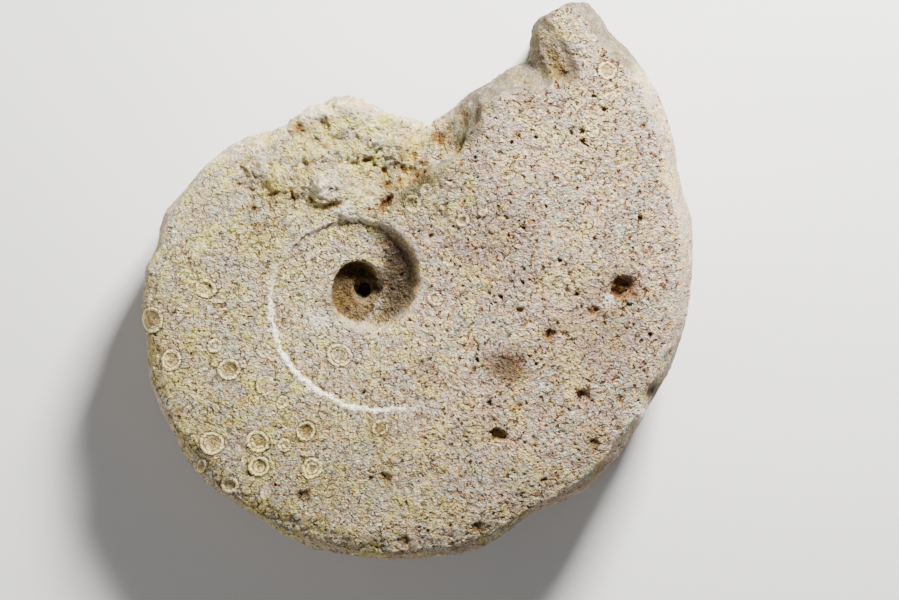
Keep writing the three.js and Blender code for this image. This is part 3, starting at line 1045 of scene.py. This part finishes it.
@dataclass(frozen=True)
class Grain:
    """The stone's grain as one node group, built for the shape and for the colour alike, so that they agree.

    Lengths and depths are in millimetres. Broad, Coarse and Fine come out as heights in millimetres, and the
    rest from 0 to 1.
    """

    cell: float = 1.3
    drift: float = 1.1
    shiver: float = 0.55
    pinhole: float = 2.1
    crack_depth: float = 0.26
    fleck_depth: float = 0.56
    pinhole_depth: float = 0.6
    swell: float = 0.7
    wear: float = 3.2
    lump: float = 0.5
    gully: float = 0.13
    sugar: float = 0.68
    long_way: tuple[float, float, float] = (1.0, 1.15, 1.1)

    def group(self, kind: TreeKind) -> bpy.types.NodeTree:
        """Builds the group.

        Args:
            kind: whether it goes into a material or into a modifier.

        Returns:
            The node group.
        """
        tree = bpy.data.node_groups.new("stone_grain_" + kind.name.lower(), kind.value)
        tree.interface.new_socket(name="Place", in_out="INPUT", socket_type="NodeSocketVector")
        for name, _ in GRAIN_MASKS:
            tree.interface.new_socket(name=name, in_out="INPUT", socket_type="NodeSocketFloat")
        w = Wiring(tree)
        given = w.node("NodeGroupInput").outputs
        place, crackle, worn = given["Place"], given["Crackle"], given["Worn"]
        plain = w.math("SUBTRACT", 1.0, given["Smooth"])

        middle = (NOISE_MIDDLE,) * 3
        drift = w.vector("SUBTRACT", w.noise(place, 0.8, 2.0, 0.6, colour=True), middle)
        shiver = w.vector("SUBTRACT", w.noise(place, 2.6, 2.0, 0.5, colour=True), middle)
        shiver = w.vector("SCALE", shiver, scale=self.shiver)
        warped = w.vector("ADD", w.vector("ADD", place, w.vector("SCALE", drift, scale=self.drift)), shiver)

        # Cracks run here and there between the cells.
        edge = w.cells(warped, 1.0 / self.cell, "DISTANCE_TO_EDGE")["Distance"]
        gaps = w.noise(place, 1.15, 2.0)
        bar = w.plus(w.swing(crackle, 0.54, 0.45), w.swing(worn, 0.0, 0.1))
        cracks = w.fade(w.math("SUBTRACT", gaps, bar), 0.0, 0.08)
        cracks = w.times(cracks, w.fade(edge, 0.12, 0.03), w.fade(given["Smooth"], 0.3, 0.9, 1.0, 0.2))

        # Flecks are the dark gaps between the grains, each with a rusty halo.
        long_way = w.vector("MULTIPLY", warped, self.long_way)
        fleck = w.noise(long_way, 1.45, 2.5, 0.55)
        herd = w.fade(w.noise(place, 0.5, 2.0), 0.3, 0.7, -0.045, 0.045)
        bar = w.plus(w.swing(crackle, 0.388, 0.335), herd, w.swing(plain, -0.07, 0.0))
        below = w.math("SUBTRACT", w.math("ADD", fleck, w.times(edge, 0.14)), w.math("ADD", bar, 0.012))
        flecks = w.fade(below, 0.015, -0.02)
        halo = w.fade(below, 0.08, 0.0)

        # A few cells hold a pinhole.
        plate = w.cells(warped, 1.0 / self.cell, "F1")["Color"]
        holes = w.cells(warped, 1.0 / self.pinhole, "F1")
        luck = w.parts(holes["Color"])
        size = w.fade(luck[0], 0.45, 1.0, -0.05, 0.24)
        size = w.times(size, w.swing(crackle, 1.0, 0.5), plain)
        pinholes = w.fade(w.math("SUBTRACT", holes["Distance"], size), 0.04, -0.08)

        swell = w.sway(place, 0.3, 2.0)
        lumps = w.sway(place, 1.0, 3.0, 0.6)
        sugar = w.noise(place, 2.5, 2.0, 0.6)
        rough = w.sway(w.vector("ADD", place, drift), 0.42, 4.0, 0.7)
        broad = w.plus(
            w.times(swell, self.swell),
            w.times(rough, worn, self.wear),
            w.times(pinholes, -self.pinhole_depth),
        )
        coarse = w.plus(
            w.times(lumps, w.swing(given["Smooth"], self.lump, 0.2)),
            w.times(w.fade(edge, 0.3, 0.0), plain, w.swing(crackle, -self.gully, -0.4 * self.gully)),
        )
        fine = w.plus(
            w.times(cracks, -self.crack_depth),
            w.times(w.fade(below, 0.035, -0.035), -self.fleck_depth),
            w.times(w.math("SUBTRACT", sugar, NOISE_MIDDLE), w.swing(plain, 0.2, self.sugar)),
            w.times(pinholes, -0.15),
        )
        given_out = {
            "Broad": broad, "Coarse": coarse, "Fine": fine, "Cracks": cracks, "Flecks": flecks, "Halo": halo,
            "Pinholes": pinholes, "Sugar": sugar, "Plate": plate,
        }
        for name in given_out:
            sort = "NodeSocketColor" if name == "Plate" else "NodeSocketFloat"
            tree.interface.new_socket(name=name, in_out="OUTPUT", socket_type=sort)
        made = w.node("NodeGroupOutput").inputs
        for name, value in given_out.items():
            w.put(made[name], value)
        return tree


@dataclass(frozen=True)
class Limestone:
    """The stone's finish.

    Colours are linear. Rust, tan, olive, well, umber, rose and soil are what the stone's own colour is
    multiplied by where they are strongest. Umber also lays painted shade, pale a painted highlight on the
    lip.
    """

    cream: Colour = (0.68, 0.57, 0.33, 1.0)
    yellow: Colour = (0.61, 0.575, 0.15, 1.0)
    slate: Colour = (0.40, 0.42, 0.39, 1.0)
    lilac: Colour = (0.50, 0.38, 0.37, 1.0)
    peach: Colour = (0.80, 0.43, 0.16, 1.0)
    light: Colour = (0.98, 0.90, 0.70, 1.0)
    dim: Colour = (0.20, 0.15, 0.085, 1.0)
    ochre: Colour = (0.50, 0.24, 0.06, 1.0)
    rust: Colour = (0.52, 0.42, 0.25, 1.0)
    tan: Colour = (0.34, 0.35, 0.325, 1.0)
    olive: Colour = (0.98, 0.96, 0.85, 1.0)
    well: Colour = (0.285, 0.22, 0.12, 1.0)
    umber: Colour = (0.10, 0.082, 0.058, 1.0)
    rose: Colour = (0.28, 0.22, 0.20, 1.0)
    pale: Colour = (0.95, 0.90, 0.76, 1.0)
    line: Colour = (0.09, 0.055, 0.025, 1.0)
    pit: Colour = (0.045, 0.026, 0.012, 1.0)
    soil: Colour = (0.50, 0.33, 0.17, 1.0)
    ring: Colour = (0.80, 0.66, 0.30, 1.0)
    roughness: float = 0.88
    sheen: float = 0.25
    bump_mm: float = 1.35
    coarse_share: float = 0.5
    fleck_cover: float = 0.93
    pinhole_cover: float = 0.85
    mottle_at: tuple[float, float, float] = (13.0, 5.0, 9.0)
    speckle_at: tuple[float, float, float] = (31.0, 7.0, 3.0)

    def held(self, w: Wiring, name: str, output: str = "Fac") -> Socket:
        """Reads one of the masks that the stone holds."""
        return w.node("ShaderNodeAttribute", attribute_name=name).outputs[output]

    def ground(self, w: Wiring, place: Socket, grain: Sockets) -> Socket:
        """Builds the mottled body of the stone.

        Args:
            w: the material's wiring.
            place: the place on the stone, in millimetres.
            grain: the grain pattern's outputs.

        Returns:
            The colour.
        """
        clouds = w.parts(w.noise(place, 0.2, 2.0, 0.6, colour=True))
        mottle = w.parts(w.noise(w.vector("ADD", place, self.mottle_at), 0.6, 2.0, 0.6, colour=True))
        speckle = w.parts(w.noise(w.vector("ADD", place, self.speckle_at), 1.35, 2.5, 0.7, colour=True))
        plate = w.parts(grain["Plate"])
        warm = self.held(w, Shade.WARM.value)

        def patch(number: int) -> Socket:
            """Makes patches of cloud with ragged, plate-shaped edges."""
            ragged = w.plus(w.times(mottle[number], 0.55), w.times(plate[number], 0.09), clouds[number])
            return w.fade(ragged, 0.78, 0.9)

        yellow = w.math("ADD", warm, w.fade(clouds[0], 0.38, 0.62, -0.4, 0.4), clamp=True)
        base = w.blend(yellow, self.cream, self.yellow)
        layers = (
            (w.times(patch(1), w.swing(warm, 0.9, 0.75)), self.slate),
            (w.times(patch(2), w.swing(warm, 0.85, 0.4)), self.lilac),
            (w.times(w.fade(mottle[0], 0.54, 0.68), w.swing(warm, 0.7, 0.4)), self.peach),
            (w.fade(speckle[0], 0.52, 0.68, 0.0, 0.85), self.light),
            (w.fade(speckle[1], 0.5, 0.34, 0.0, 0.7), self.dim),
            (w.fade(speckle[2], 0.56, 0.68, 0.0, 0.75), self.ochre),
            (w.plus(w.fade(grain["Sugar"], 0.3, 0.7, 0.4, 0.0), w.times(plate[0], 0.25)), self.dim),
        )
        for share, colour in layers:
            base = w.blend(share, base, colour)
        return base

    def stained(self, w: Wiring, place: Socket, base: Socket) -> Socket:
        """Lays the stains and the painted shade over the body of the stone.

        Args:
            w: the material's wiring.
            place: the place on the stone, in millimetres.
            base: the colour beneath.

        Returns:
            The colour.
        """
        patchy = w.noise(place, 1.1, 2.0, 0.65)
        broad = w.noise(place, 0.4, 2.0, 0.6)
        layers = (
            ("stone_worn", w.fade(broad, 0.42, 0.6), self.olive),
            ("stone_broken", w.fade(broad, 0.35, 0.62, 0.7, 1.1), self.tan),
            (Shade.RUST.value, w.fade(patchy, 0.3, 0.6, 0.6, 1.4), self.rust),
            (Shade.ROSE.value, w.fade(patchy, 0.3, 0.6, 0.7, 1.1), self.rose),
            # The umber mask is stain, with painted shade towards the bottom and in the well's upper half.
            (Shade.UMBER.value, w.fade(patchy, 0.3, 0.6, 0.8, 1.1), self.umber),
            # Painted shade in the umbilicus, mixed with a brown stain.
            ("wall_shade", w.fade(patchy, 0.3, 0.7, 0.95, 0.75), self.umber),
            (Shade.WELL.value, w.fade(patchy, 0.3, 0.7, 1.25, 0.7), self.well),
        )
        for mask, strength, tint in layers:
            base = w.tinge(w.times(self.held(w, mask), strength), base, tint)
        bleached = w.times(self.held(w, Shade.PALE.value), w.fade(patchy, 0.3, 0.5, 0.6, 1.0))
        return w.blend(bleached, base, self.pale)

    def ringed(self, w: Wiring, place: Socket, base: Socket) -> tuple[Socket, Socket]:
        """Draws the silica rings.

        Args:
            w: the material's wiring.
            place: the place on the stone, in millimetres.
            base: the colour beneath.

        Returns:
            The colour, and a height in millimetres.
        """
        shake = w.times(w.sway(place, 1.3, 3.0), 0.5)
        edge = w.math("ADD", self.held(w, "ring_edge"), shake)
        bold, double = self.held(w, "ring_bold"), self.held(w, "ring_double")
        broken = w.fade(w.noise(place, 0.9, 2.0), 0.36, 0.56, 0.2, 1.0)
        outline = w.times(w.peak(edge, 0.0, 0.18), broken, bold)
        second = w.times(w.peak(edge, -0.85, 0.16), double, bold, broken)
        rim = w.times(w.peak(edge, -0.42, 0.42), bold)
        inner = w.times(w.peak(edge, -1.15, 0.26), double, bold)
        patchy = w.fade(w.noise(place, 1.8, 2.0), 0.35, 0.6, 0.5, 1.0)
        core = w.times(w.fade(edge, -0.65, -1.0), self.held(w, "ring_core"), patchy)
        base = w.tinge(core, base, self.rust)
        base = w.blend(w.times(w.math("MAXIMUM", rim, inner), 0.8), base, self.ring)
        base = w.blend(w.math("MAXIMUM", w.times(outline, 0.95), w.times(second, 0.6)), base, self.line)
        raised = w.plus(w.times(rim, 0.1), w.times(inner, 0.08))
        return base, w.plus(raised, w.times(outline, -0.24), w.times(second, -0.14))

    def lipped(self, w: Wiring, place: Socket, base: Socket) -> tuple[Socket, Socket]:
        """Whitens the lip of the umbilical seam, partly a painted highlight, and darkens the groove at its
        foot.

        Args:
            w: the material's wiring.
            place: the place on the stone, in millimetres.
            base: the colour beneath.

        Returns:
            The colour, and a height in millimetres.
        """
        shake = w.times(w.sway(place, 1.1, 3.0, 0.75), 3.4)
        gap = w.math("ADD", self.held(w, "seam_gap"), shake)
        lip = self.held(w, "seam_lip")
        spread = w.fade(w.noise(place, 0.35, 1.0), 0.35, 0.65, 0.35, 1.1)
        crumbs = w.fade(w.noise(place, 2.0, 2.0, 0.6), 0.38, 0.54, 0.2, 1.0)
        outer = w.fade(w.math("SUBTRACT", gap, spread), 0.2, -0.2)
        top = w.times(w.fade(gap, -0.65, -0.4), outer, lip, crumbs)
        foot = w.times(w.peak(gap, -0.72, 0.28), lip, w.fade(w.noise(place, 0.8, 2.0), 0.4, 0.55))
        # Pale lip: lighter stone and a painted highlight.
        base = w.blend(w.times(top, 0.95), base, self.pale)
        base = w.tinge(w.times(foot, 0.6), base, self.umber)
        return base, w.plus(w.times(top, 0.12), w.times(foot, -0.2))

    def pitted(self, w: Wiring, place: Socket, base: Socket) -> Socket:
        """Browns the solution pits, most in their middles.

        Args:
            w: the material's wiring.
            place: the place on the stone, in millimetres.
            base: the colour beneath.

        Returns:
            The colour.
        """
        hollow = self.held(w, "stone_hollow")
        ragged = w.times(w.sway(place, 1.5, 2.0, 0.6), w.fade(hollow, 0.0, 0.3, 0.0, 1.2))
        return w.tinge(w.math("MAXIMUM", w.math("ADD", hollow, ragged), 0.0), base, self.soil)

    def material(self, grain: Grain) -> bpy.types.Material:
        """Builds the material.

        Args:
            grain: the grain pattern that the shape uses too.

        Returns:
            The material.
        """
        made = bpy.data.materials.new("pitted_limestone")
        made.use_nodes = True
        made.node_tree.nodes.clear()
        w = Wiring(made.node_tree)
        place = self.held(w, "stone_place", "Vector")
        pattern = w.node("ShaderNodeGroup", node_tree=grain.group(TreeKind.SHADER))
        for name, attribute in GRAIN_MASKS:
            w.put(pattern.inputs[name], self.held(w, attribute))
        w.put(pattern.inputs["Place"], place)
        out = pattern.outputs

        base = self.ground(w, place, out)
        rusty = w.times(out["Halo"], w.swing(self.held(w, "stone_worn"), 0.7, 0.25))
        base = w.blend(rusty, base, self.ochre)
        base, ring_height = self.ringed(w, place, self.stained(w, place, base))
        cracked = w.times(out["Cracks"], w.fade(w.noise(place, 0.3, 1.0), 0.4, 0.6, 0.4, 0.85))
        base, lip_height = self.lipped(w, place, w.blend(cracked, base, self.line))
        for name, cover in (("Flecks", self.fleck_cover), ("Pinholes", self.pinhole_cover)):
            base = w.blend(w.times(out[name], cover), base, self.pit)
        base = self.pitted(w, place, base)

        bump = w.node("ShaderNodeBump")
        bump.inputs["Strength"].default_value = 1.0
        bump.inputs["Distance"].default_value = self.bump_mm * MM
        coarse = w.times(out["Coarse"], self.coarse_share)
        w.put(bump.inputs["Height"], w.plus(out["Fine"], coarse, ring_height, lip_height))

        shader = w.node("ShaderNodeBsdfPrincipled")
        shader.inputs["Specular IOR Level"].default_value = self.sheen
        shader.inputs["Roughness"].default_value = self.roughness
        w.put(shader.inputs["Base Color"], base)
        w.put(shader.inputs["Normal"], bump.outputs["Normal"])
        w.put(w.node("ShaderNodeOutputMaterial").inputs["Surface"], shader.outputs[0])
        return made


@dataclass
class Fossil:
    """The fossil itself: one piece of stone.

    The mesh is remade on a grid of even cells and smoothed, and then gets its relief. The horn is the mouth's
    tip, which is smoothed within an oval of the given middle, direction and half-widths, in millimetres.
    """

    coil: Coil
    grain: Grain = field(default_factory=Grain)
    finish: Limestone = field(default_factory=Limestone)
    merge_mm: float = 0.001
    grid_mm: float = 0.31
    quick_grid_mm: float = 0.7
    even_passes: int = 26
    wall_passes: int = 110
    horn_middle: tuple[float, float] = (35.6, 42.4)
    horn_way: tuple[float, float] = (0.5, -0.866)
    horn_half: tuple[float, float] = (9.0, 5.0)
    wide_pit_mm: float = 0.9
    weight_steps: int = 8
    fine_share: float = 0.35
    lower_triangles: int = 66000
    upper_triangles: int = 130000

    def start(self) -> bpy.types.Object:
        """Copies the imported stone, closes it up and gives it an even fine mesh.

        Returns:
            The new object.
        """
        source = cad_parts[NODE]
        made = source.copy()
        made.data = source.data.copy()
        made.name = made.data.name = PIECE
        bpy.context.scene.collection.objects.link(made)
        made.data.materials.clear()
        make_active(made)
        bpy.ops.object.mode_set(mode="EDIT")
        bpy.ops.mesh.select_all(action="SELECT")
        bpy.ops.mesh.remove_doubles(threshold=self.merge_mm * MM)
        bpy.ops.mesh.normals_make_consistent(inside=False)
        bpy.ops.object.mode_set(mode="OBJECT")
        remesh = made.modifiers.new("even_mesh", "REMESH")
        remesh.mode = "VOXEL"
        remesh.voxel_size = self.grid_mm * MM
        apply_modifier(made, remesh)
        return made

    def read(self, made: bpy.types.Object, at_rest: bool = False) -> Stone:
        """Reads a mesh's surface.

        Args:
            made: the object.
            at_rest: reads the places that were stored before the stone was roughened.

        Returns:
            Its surface in the coil's frame.
        """
        mesh = made.data
        points = np.empty(len(mesh.vertices) * 3, np.float32)
        normals = np.empty(len(mesh.vertices) * 3, np.float32)
        mesh.vertices.foreach_get("normal", normals)
        if at_rest:
            mesh.attributes["stone_place"].data.foreach_get("vector", points)
            place = points.reshape(-1, 3).astype(float)
        else:
            mesh.vertices.foreach_get("co", points)
            place = self.coil.from_row(points.reshape(-1, 3).astype(float))
        turn = np.array(self.coil.matrix().inverted())[:3, :3]
        return Stone(place, normals.reshape(-1, 3).astype(float) @ turn.T, self.coil)

    def give(self, made: bpy.types.Object, name: str, values: np.ndarray) -> None:
        """Stores numbers on the mesh's points.

        Args:
            made: the object.
            name: the attribute's name.
            values: one number or one vector a point.
        """
        kind, key = ("FLOAT", "value") if values.ndim == 1 else ("FLOAT_VECTOR", "vector")
        held = made.data.attributes.get(name) or made.data.attributes.new(name, kind, "POINT")
        held.data.foreach_set(key, values.astype(np.float32).ravel())

    def group(self, made: bpy.types.Object, name: str, weight: np.ndarray) -> bpy.types.VertexGroup:
        """Makes a vertex group.

        Args:
            made: the object.
            name: the group's name.
            weight: one number a point, from 0 to 1.

        Returns:
            The group.
        """
        group = made.vertex_groups.new(name=name)
        levels = np.round(weight * self.weight_steps).astype(int)
        for level in range(1, self.weight_steps + 1):
            group.add(np.flatnonzero(levels == level).tolist(), level / self.weight_steps, "REPLACE")
        return group

    def relax(self, made: bpy.types.Object, name: str, weight: np.ndarray, passes: int) -> None:
        """Smooths the mesh where the weight is.

        Args:
            made: the object.
            name: what the step is called.
            weight: one number a point, from 0 to 1.
            passes: how many times it is smoothed.
        """
        group = self.group(made, name, weight)
        smooth = made.modifiers.new(name, "SMOOTH")
        smooth.factor, smooth.iterations, smooth.vertex_group = 0.5, passes, group.name
        apply_modifier(made, smooth)
        made.vertex_groups.clear()

    def soften(self, made: bpy.types.Object) -> None:
        """Evens out the flats of the solid, and more so the umbilicus's wall, the mouth's tip and the pits.

        Args:
            made: the object.
        """
        stone = self.read(made)
        x, y, _ = stone.place.T
        # The flanks and the sides, and less of the broken edge below the mouth.
        weight = 0.25 + 0.75 * smoothstep(stone.radius, 22.0, 27.0)
        kept = 0.7 * smoothstep(y - 0.2 * x, 14.0, 22.0) * smoothstep(x, 0.0, 8.0) * smoothstep(x, 46.0, 40.0)
        self.relax(made, "flats", weight * (1.0 - kept), self.even_passes)
        # The umbilicus's wall, the wider pits and the mouth's tip.
        bearing = np.degrees(np.arctan2(y, x))
        gap = np.abs(stone.radius - self.coil.seam_radius(bearing) + 0.3)
        weight = smoothstep(np.abs(bearing - 40.0), 130.0, 100.0) * smoothstep(gap, 5.0, 3.0) * stone.upper
        for spot in HOLLOWS:
            if spot.radius > self.wide_pit_mm:
                away = np.hypot(x - spot.x, y - spot.y) - 1.2 * spot.radius
                weight = np.maximum(weight, smoothstep(away, 1.8, 0.8) * stone.upper)
        along, across = stone.slanted(self.horn_middle, self.horn_way)
        away = np.hypot(along / self.horn_half[0], across / self.horn_half[1])
        weight = np.maximum(weight, smoothstep(away, 1.1, 0.75) * stone.upper)
        self.relax(made, "wall_horn_and_pits", weight, self.wall_passes)

    def shape(self, made: bpy.types.Object) -> None:
        """Raises the seam's lip, the lumps and the rings, and sinks the pits.

        Args:
            made: the object.
        """
        stone = self.read(made)
        relief = Relief(self.coil)
        seam = relief.seam(stone)
        rings = relief.rings(stone)
        pits, _ = relief.hollows(stone)
        self.give(made, "stone_place", stone.place)
        self.give(made, "stone_smooth", relief.plain(stone, seam, rings))
        self.give(made, "stone_worn", relief.worn(stone))
        self.give(made, "stone_broken", relief.broken(stone))
        self.give(made, Shade.WARM.value, relief.stains(stone, Shade.WARM))
        carving = seam.height + pits + rings.height + relief.lumps(stone) + relief.mouth_fill(stone)
        self.give(made, "stone_carving", carving)

    def roughen(self, made: bpy.types.Object) -> None:
        """Moves the surface by the carving and the coarse grain, with a node modifier.

        Args:
            made: the object.
        """
        tree = bpy.data.node_groups.new("stone_relief", "GeometryNodeTree")
        tree.interface.new_socket(name="Geometry", in_out="INPUT", socket_type="NodeSocketGeometry")
        tree.interface.new_socket(name="Geometry", in_out="OUTPUT", socket_type="NodeSocketGeometry")
        w = Wiring(tree)

        def held(name: str, kind: str = "FLOAT") -> Socket:
            """Reads one of the masks that the mesh holds.

            Args:
                name: the mask.
                kind: its data type.

            Returns:
                Its value.
            """
            reader = w.node("GeometryNodeInputNamedAttribute", data_type=kind)
            reader.inputs["Name"].default_value = name
            return reader.outputs["Attribute"]

        pattern = w.node("GeometryNodeGroup", node_tree=self.grain.group(TreeKind.GEOMETRY))
        w.put(pattern.inputs["Place"], held("stone_place", "FLOAT_VECTOR"))
        for name, attribute in GRAIN_MASKS:
            w.put(pattern.inputs[name], held(attribute))
        out = pattern.outputs
        fine = w.times(out["Fine"], self.fine_share)
        height = w.plus(out["Broad"], out["Coarse"], fine, held("stone_carving"))
        move = w.vector("SCALE", w.node("GeometryNodeInputNormal").outputs[0], scale=w.times(height, MM))
        setter = w.node("GeometryNodeSetPosition")
        w.put(setter.inputs["Geometry"], w.node("NodeGroupInput").outputs[0])
        w.put(setter.inputs["Offset"], move)
        w.put(w.node("NodeGroupOutput").inputs[0], setter.outputs[0])
        relief = made.modifiers.new("relief", "NODES")
        relief.node_group = tree
        apply_modifier(made, relief)

    def thin(self, made: bpy.types.Object) -> None:
        """Thins the mesh, more on the side that lies down.

        Args:
            made: the object.
        """
        apply_modifier(made, made.modifiers.new("triangles", "TRIANGULATE"))
        for side, most in (("lower", self.lower_triangles), ("upper", self.upper_triangles)):
            heights = self.read(made, at_rest=True).place[:, 2]
            points = np.empty(len(made.data.polygons) * 3, np.int32)
            made.data.polygons.foreach_get("vertices", points)
            chosen = (heights < 0.0) == (side == "lower")
            count = int(chosen[points[::3]].sum())
            log.info("%s side: %d triangles before thinning", side, count)
            if count > most:
                group = self.group(made, side, chosen.astype(float))
                thinner = made.modifiers.new("thin_" + side, "DECIMATE")
                thinner.ratio = 1.0 - (count - most) / len(made.data.polygons)
                thinner.vertex_group = group.name
                apply_modifier(made, thinner)
                made.vertex_groups.clear()

    def stain(self, made: bpy.types.Object) -> None:
        """Stores the masks that the finish reads.

        Args:
            made: the object.
        """
        stone = self.read(made, at_rest=True)
        relief = Relief(self.coil)
        _, hollow = relief.hollows(stone)
        rings, seam = relief.rings(stone), relief.seam(stone)
        masks = {
            "stone_hollow": hollow, "seam_gap": seam.gap, "seam_lip": seam.lip, "wall_shade": seam.shade,
            "ring_edge": rings.edge, "ring_core": rings.core, "ring_double": rings.double,
            "ring_bold": rings.bold,
        }
        for name, values in masks.items():
            self.give(made, name, values)
        for shade in Shade:
            self.give(made, shade.value, relief.stains(stone, shade))

    def build(self) -> bpy.types.Object:
        """Builds and dresses the stone.

        Returns:
            The finished object.
        """
        made = self.start()
        self.soften(made)
        self.shape(made)
        self.roughen(made)
        self.thin(made)
        self.stain(made)
        made.data.attributes.remove(made.data.attributes["stone_carving"])
        made.data.shade_smooth()
        made.data.materials.append(self.finish.material(self.grain))
        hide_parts(NODE)
        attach(made, BODY)
        log.info("stone: %d faces", len(made.data.polygons))
        return made


@dataclass(frozen=True)
class Lamp:
    """One square light, aimed at the middle of the fossil.

    bearing is in degrees anticlockwise from +X, and height in degrees above the floor. away and side, its
    distance and its width, are in metres, and power is in watts.
    """

    name: str
    bearing: float
    height: float
    away: float
    side: float
    power: float
    tint: tuple[float, float, float]


@dataclass(frozen=True)
class Studio:
    """The floor, the lights and the camera. Places are in millimetres in the coil's frame."""

    coil: Coil
    lens_mm: float = 100.0
    sensor_mm: float = 36.0
    clip_m: tuple[float, float] = (0.01, 20.0)
    pixels_wide: int = 899
    pixels_per_mm: float = 5.4
    aim_mm: tuple[float, float, float] = (15.83, -2.04, 5.0)
    floor_m: float = 1.6
    floor_corners: int = 96
    floor_colour: Colour = (0.72, 0.72, 0.73, 1.0)
    floor_roughness: float = 0.7
    sky_colour: Colour = (0.95, 0.97, 1.0, 1.0)
    sky_strength: float = 0.11
    lamps: tuple[Lamp, ...] = (
        Lamp("key", 65.0, 40.0, 0.36, 0.085, 6.9, (1.0, 0.98, 0.93)),
        Lamp("fill", 218.0, 14.0, 0.9, 0.4, 5.2, (1.0, 0.97, 0.95)),
    )

    def floor(self) -> bpy.types.Object:
        """Lays a plain pale floor.

        Returns:
            The floor.
        """
        deselect_all()
        bpy.ops.mesh.primitive_circle_add(
            vertices=self.floor_corners, radius=self.floor_m, fill_type="NGON", location=(0, 0, 0)
        )
        made = bpy.context.active_object
        made.name = made.data.name = "floor"
        paint = bpy.data.materials.new("pale_floor")
        paint.use_nodes = True
        shader = paint.node_tree.nodes["Principled BSDF"]
        shader.inputs["Base Color"].default_value = self.floor_colour
        shader.inputs["Roughness"].default_value = self.floor_roughness
        made.data.materials.append(paint)
        return made

    def hang(self, lamp: Lamp) -> None:
        """Hangs one light.

        Args:
            lamp: where it hangs, and how strong it is.
        """
        light = bpy.data.lights.new(lamp.name, "AREA")
        light.energy, light.size, light.color = lamp.power, lamp.side, lamp.tint
        made = bpy.data.objects.new(lamp.name, light)
        bpy.context.scene.collection.objects.link(made)
        a, e = math.radians(lamp.bearing), math.radians(lamp.height)
        way = Vector((math.cos(a) * math.cos(e), math.sin(a) * math.cos(e), math.sin(e)))
        made.location = way * lamp.away
        made.rotation_mode = "QUATERNION"
        made.rotation_quaternion = way.to_track_quat("Z", "Y")

    def lights(self) -> None:
        """Sets a soft key from the upper right, a weak fill and an even pale sky."""
        for lamp in self.lamps:
            self.hang(lamp)
        world = bpy.data.worlds.new("pale_room")
        world.use_nodes = True
        sky = world.node_tree.nodes["Background"].inputs
        sky["Color"].default_value = self.sky_colour
        sky["Strength"].default_value = self.sky_strength
        bpy.context.scene.world = world

    def camera(self) -> None:
        """Sets the camera above the upper flank, looking down the coil's axis."""
        lens = bpy.data.cameras.new("camera")
        lens.lens, lens.sensor_width = self.lens_mm, self.sensor_mm
        away = self.pixels_wide / lens.sensor_width * self.lens_mm / self.pixels_per_mm
        made = bpy.data.objects.new("camera", lens)
        bpy.context.scene.collection.objects.link(made)
        x, y, z = self.aim_mm
        turn = self.coil.matrix().to_3x3().to_4x4()
        made.matrix_world = Matrix.Translation(self.coil.to_row((x, y, z + away))) @ turn
        lens.clip_start, lens.clip_end = self.clip_m
        bpy.context.scene.camera = made

    def build(self) -> None:
        """Sets up the whole studio."""
        self.floor()
        self.lights()
        self.camera()


def main() -> None:
    """Builds the fossil and its studio."""
    logging.basicConfig(level=logging.INFO, format="%(name)s: %(message)s")
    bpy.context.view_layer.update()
    coil = Coil()
    stone = Fossil(coil).build()
    log.info("%s rides on %s", stone.name, BODY)
    Studio(coil).build()


if __name__ == "__main__":
    main()
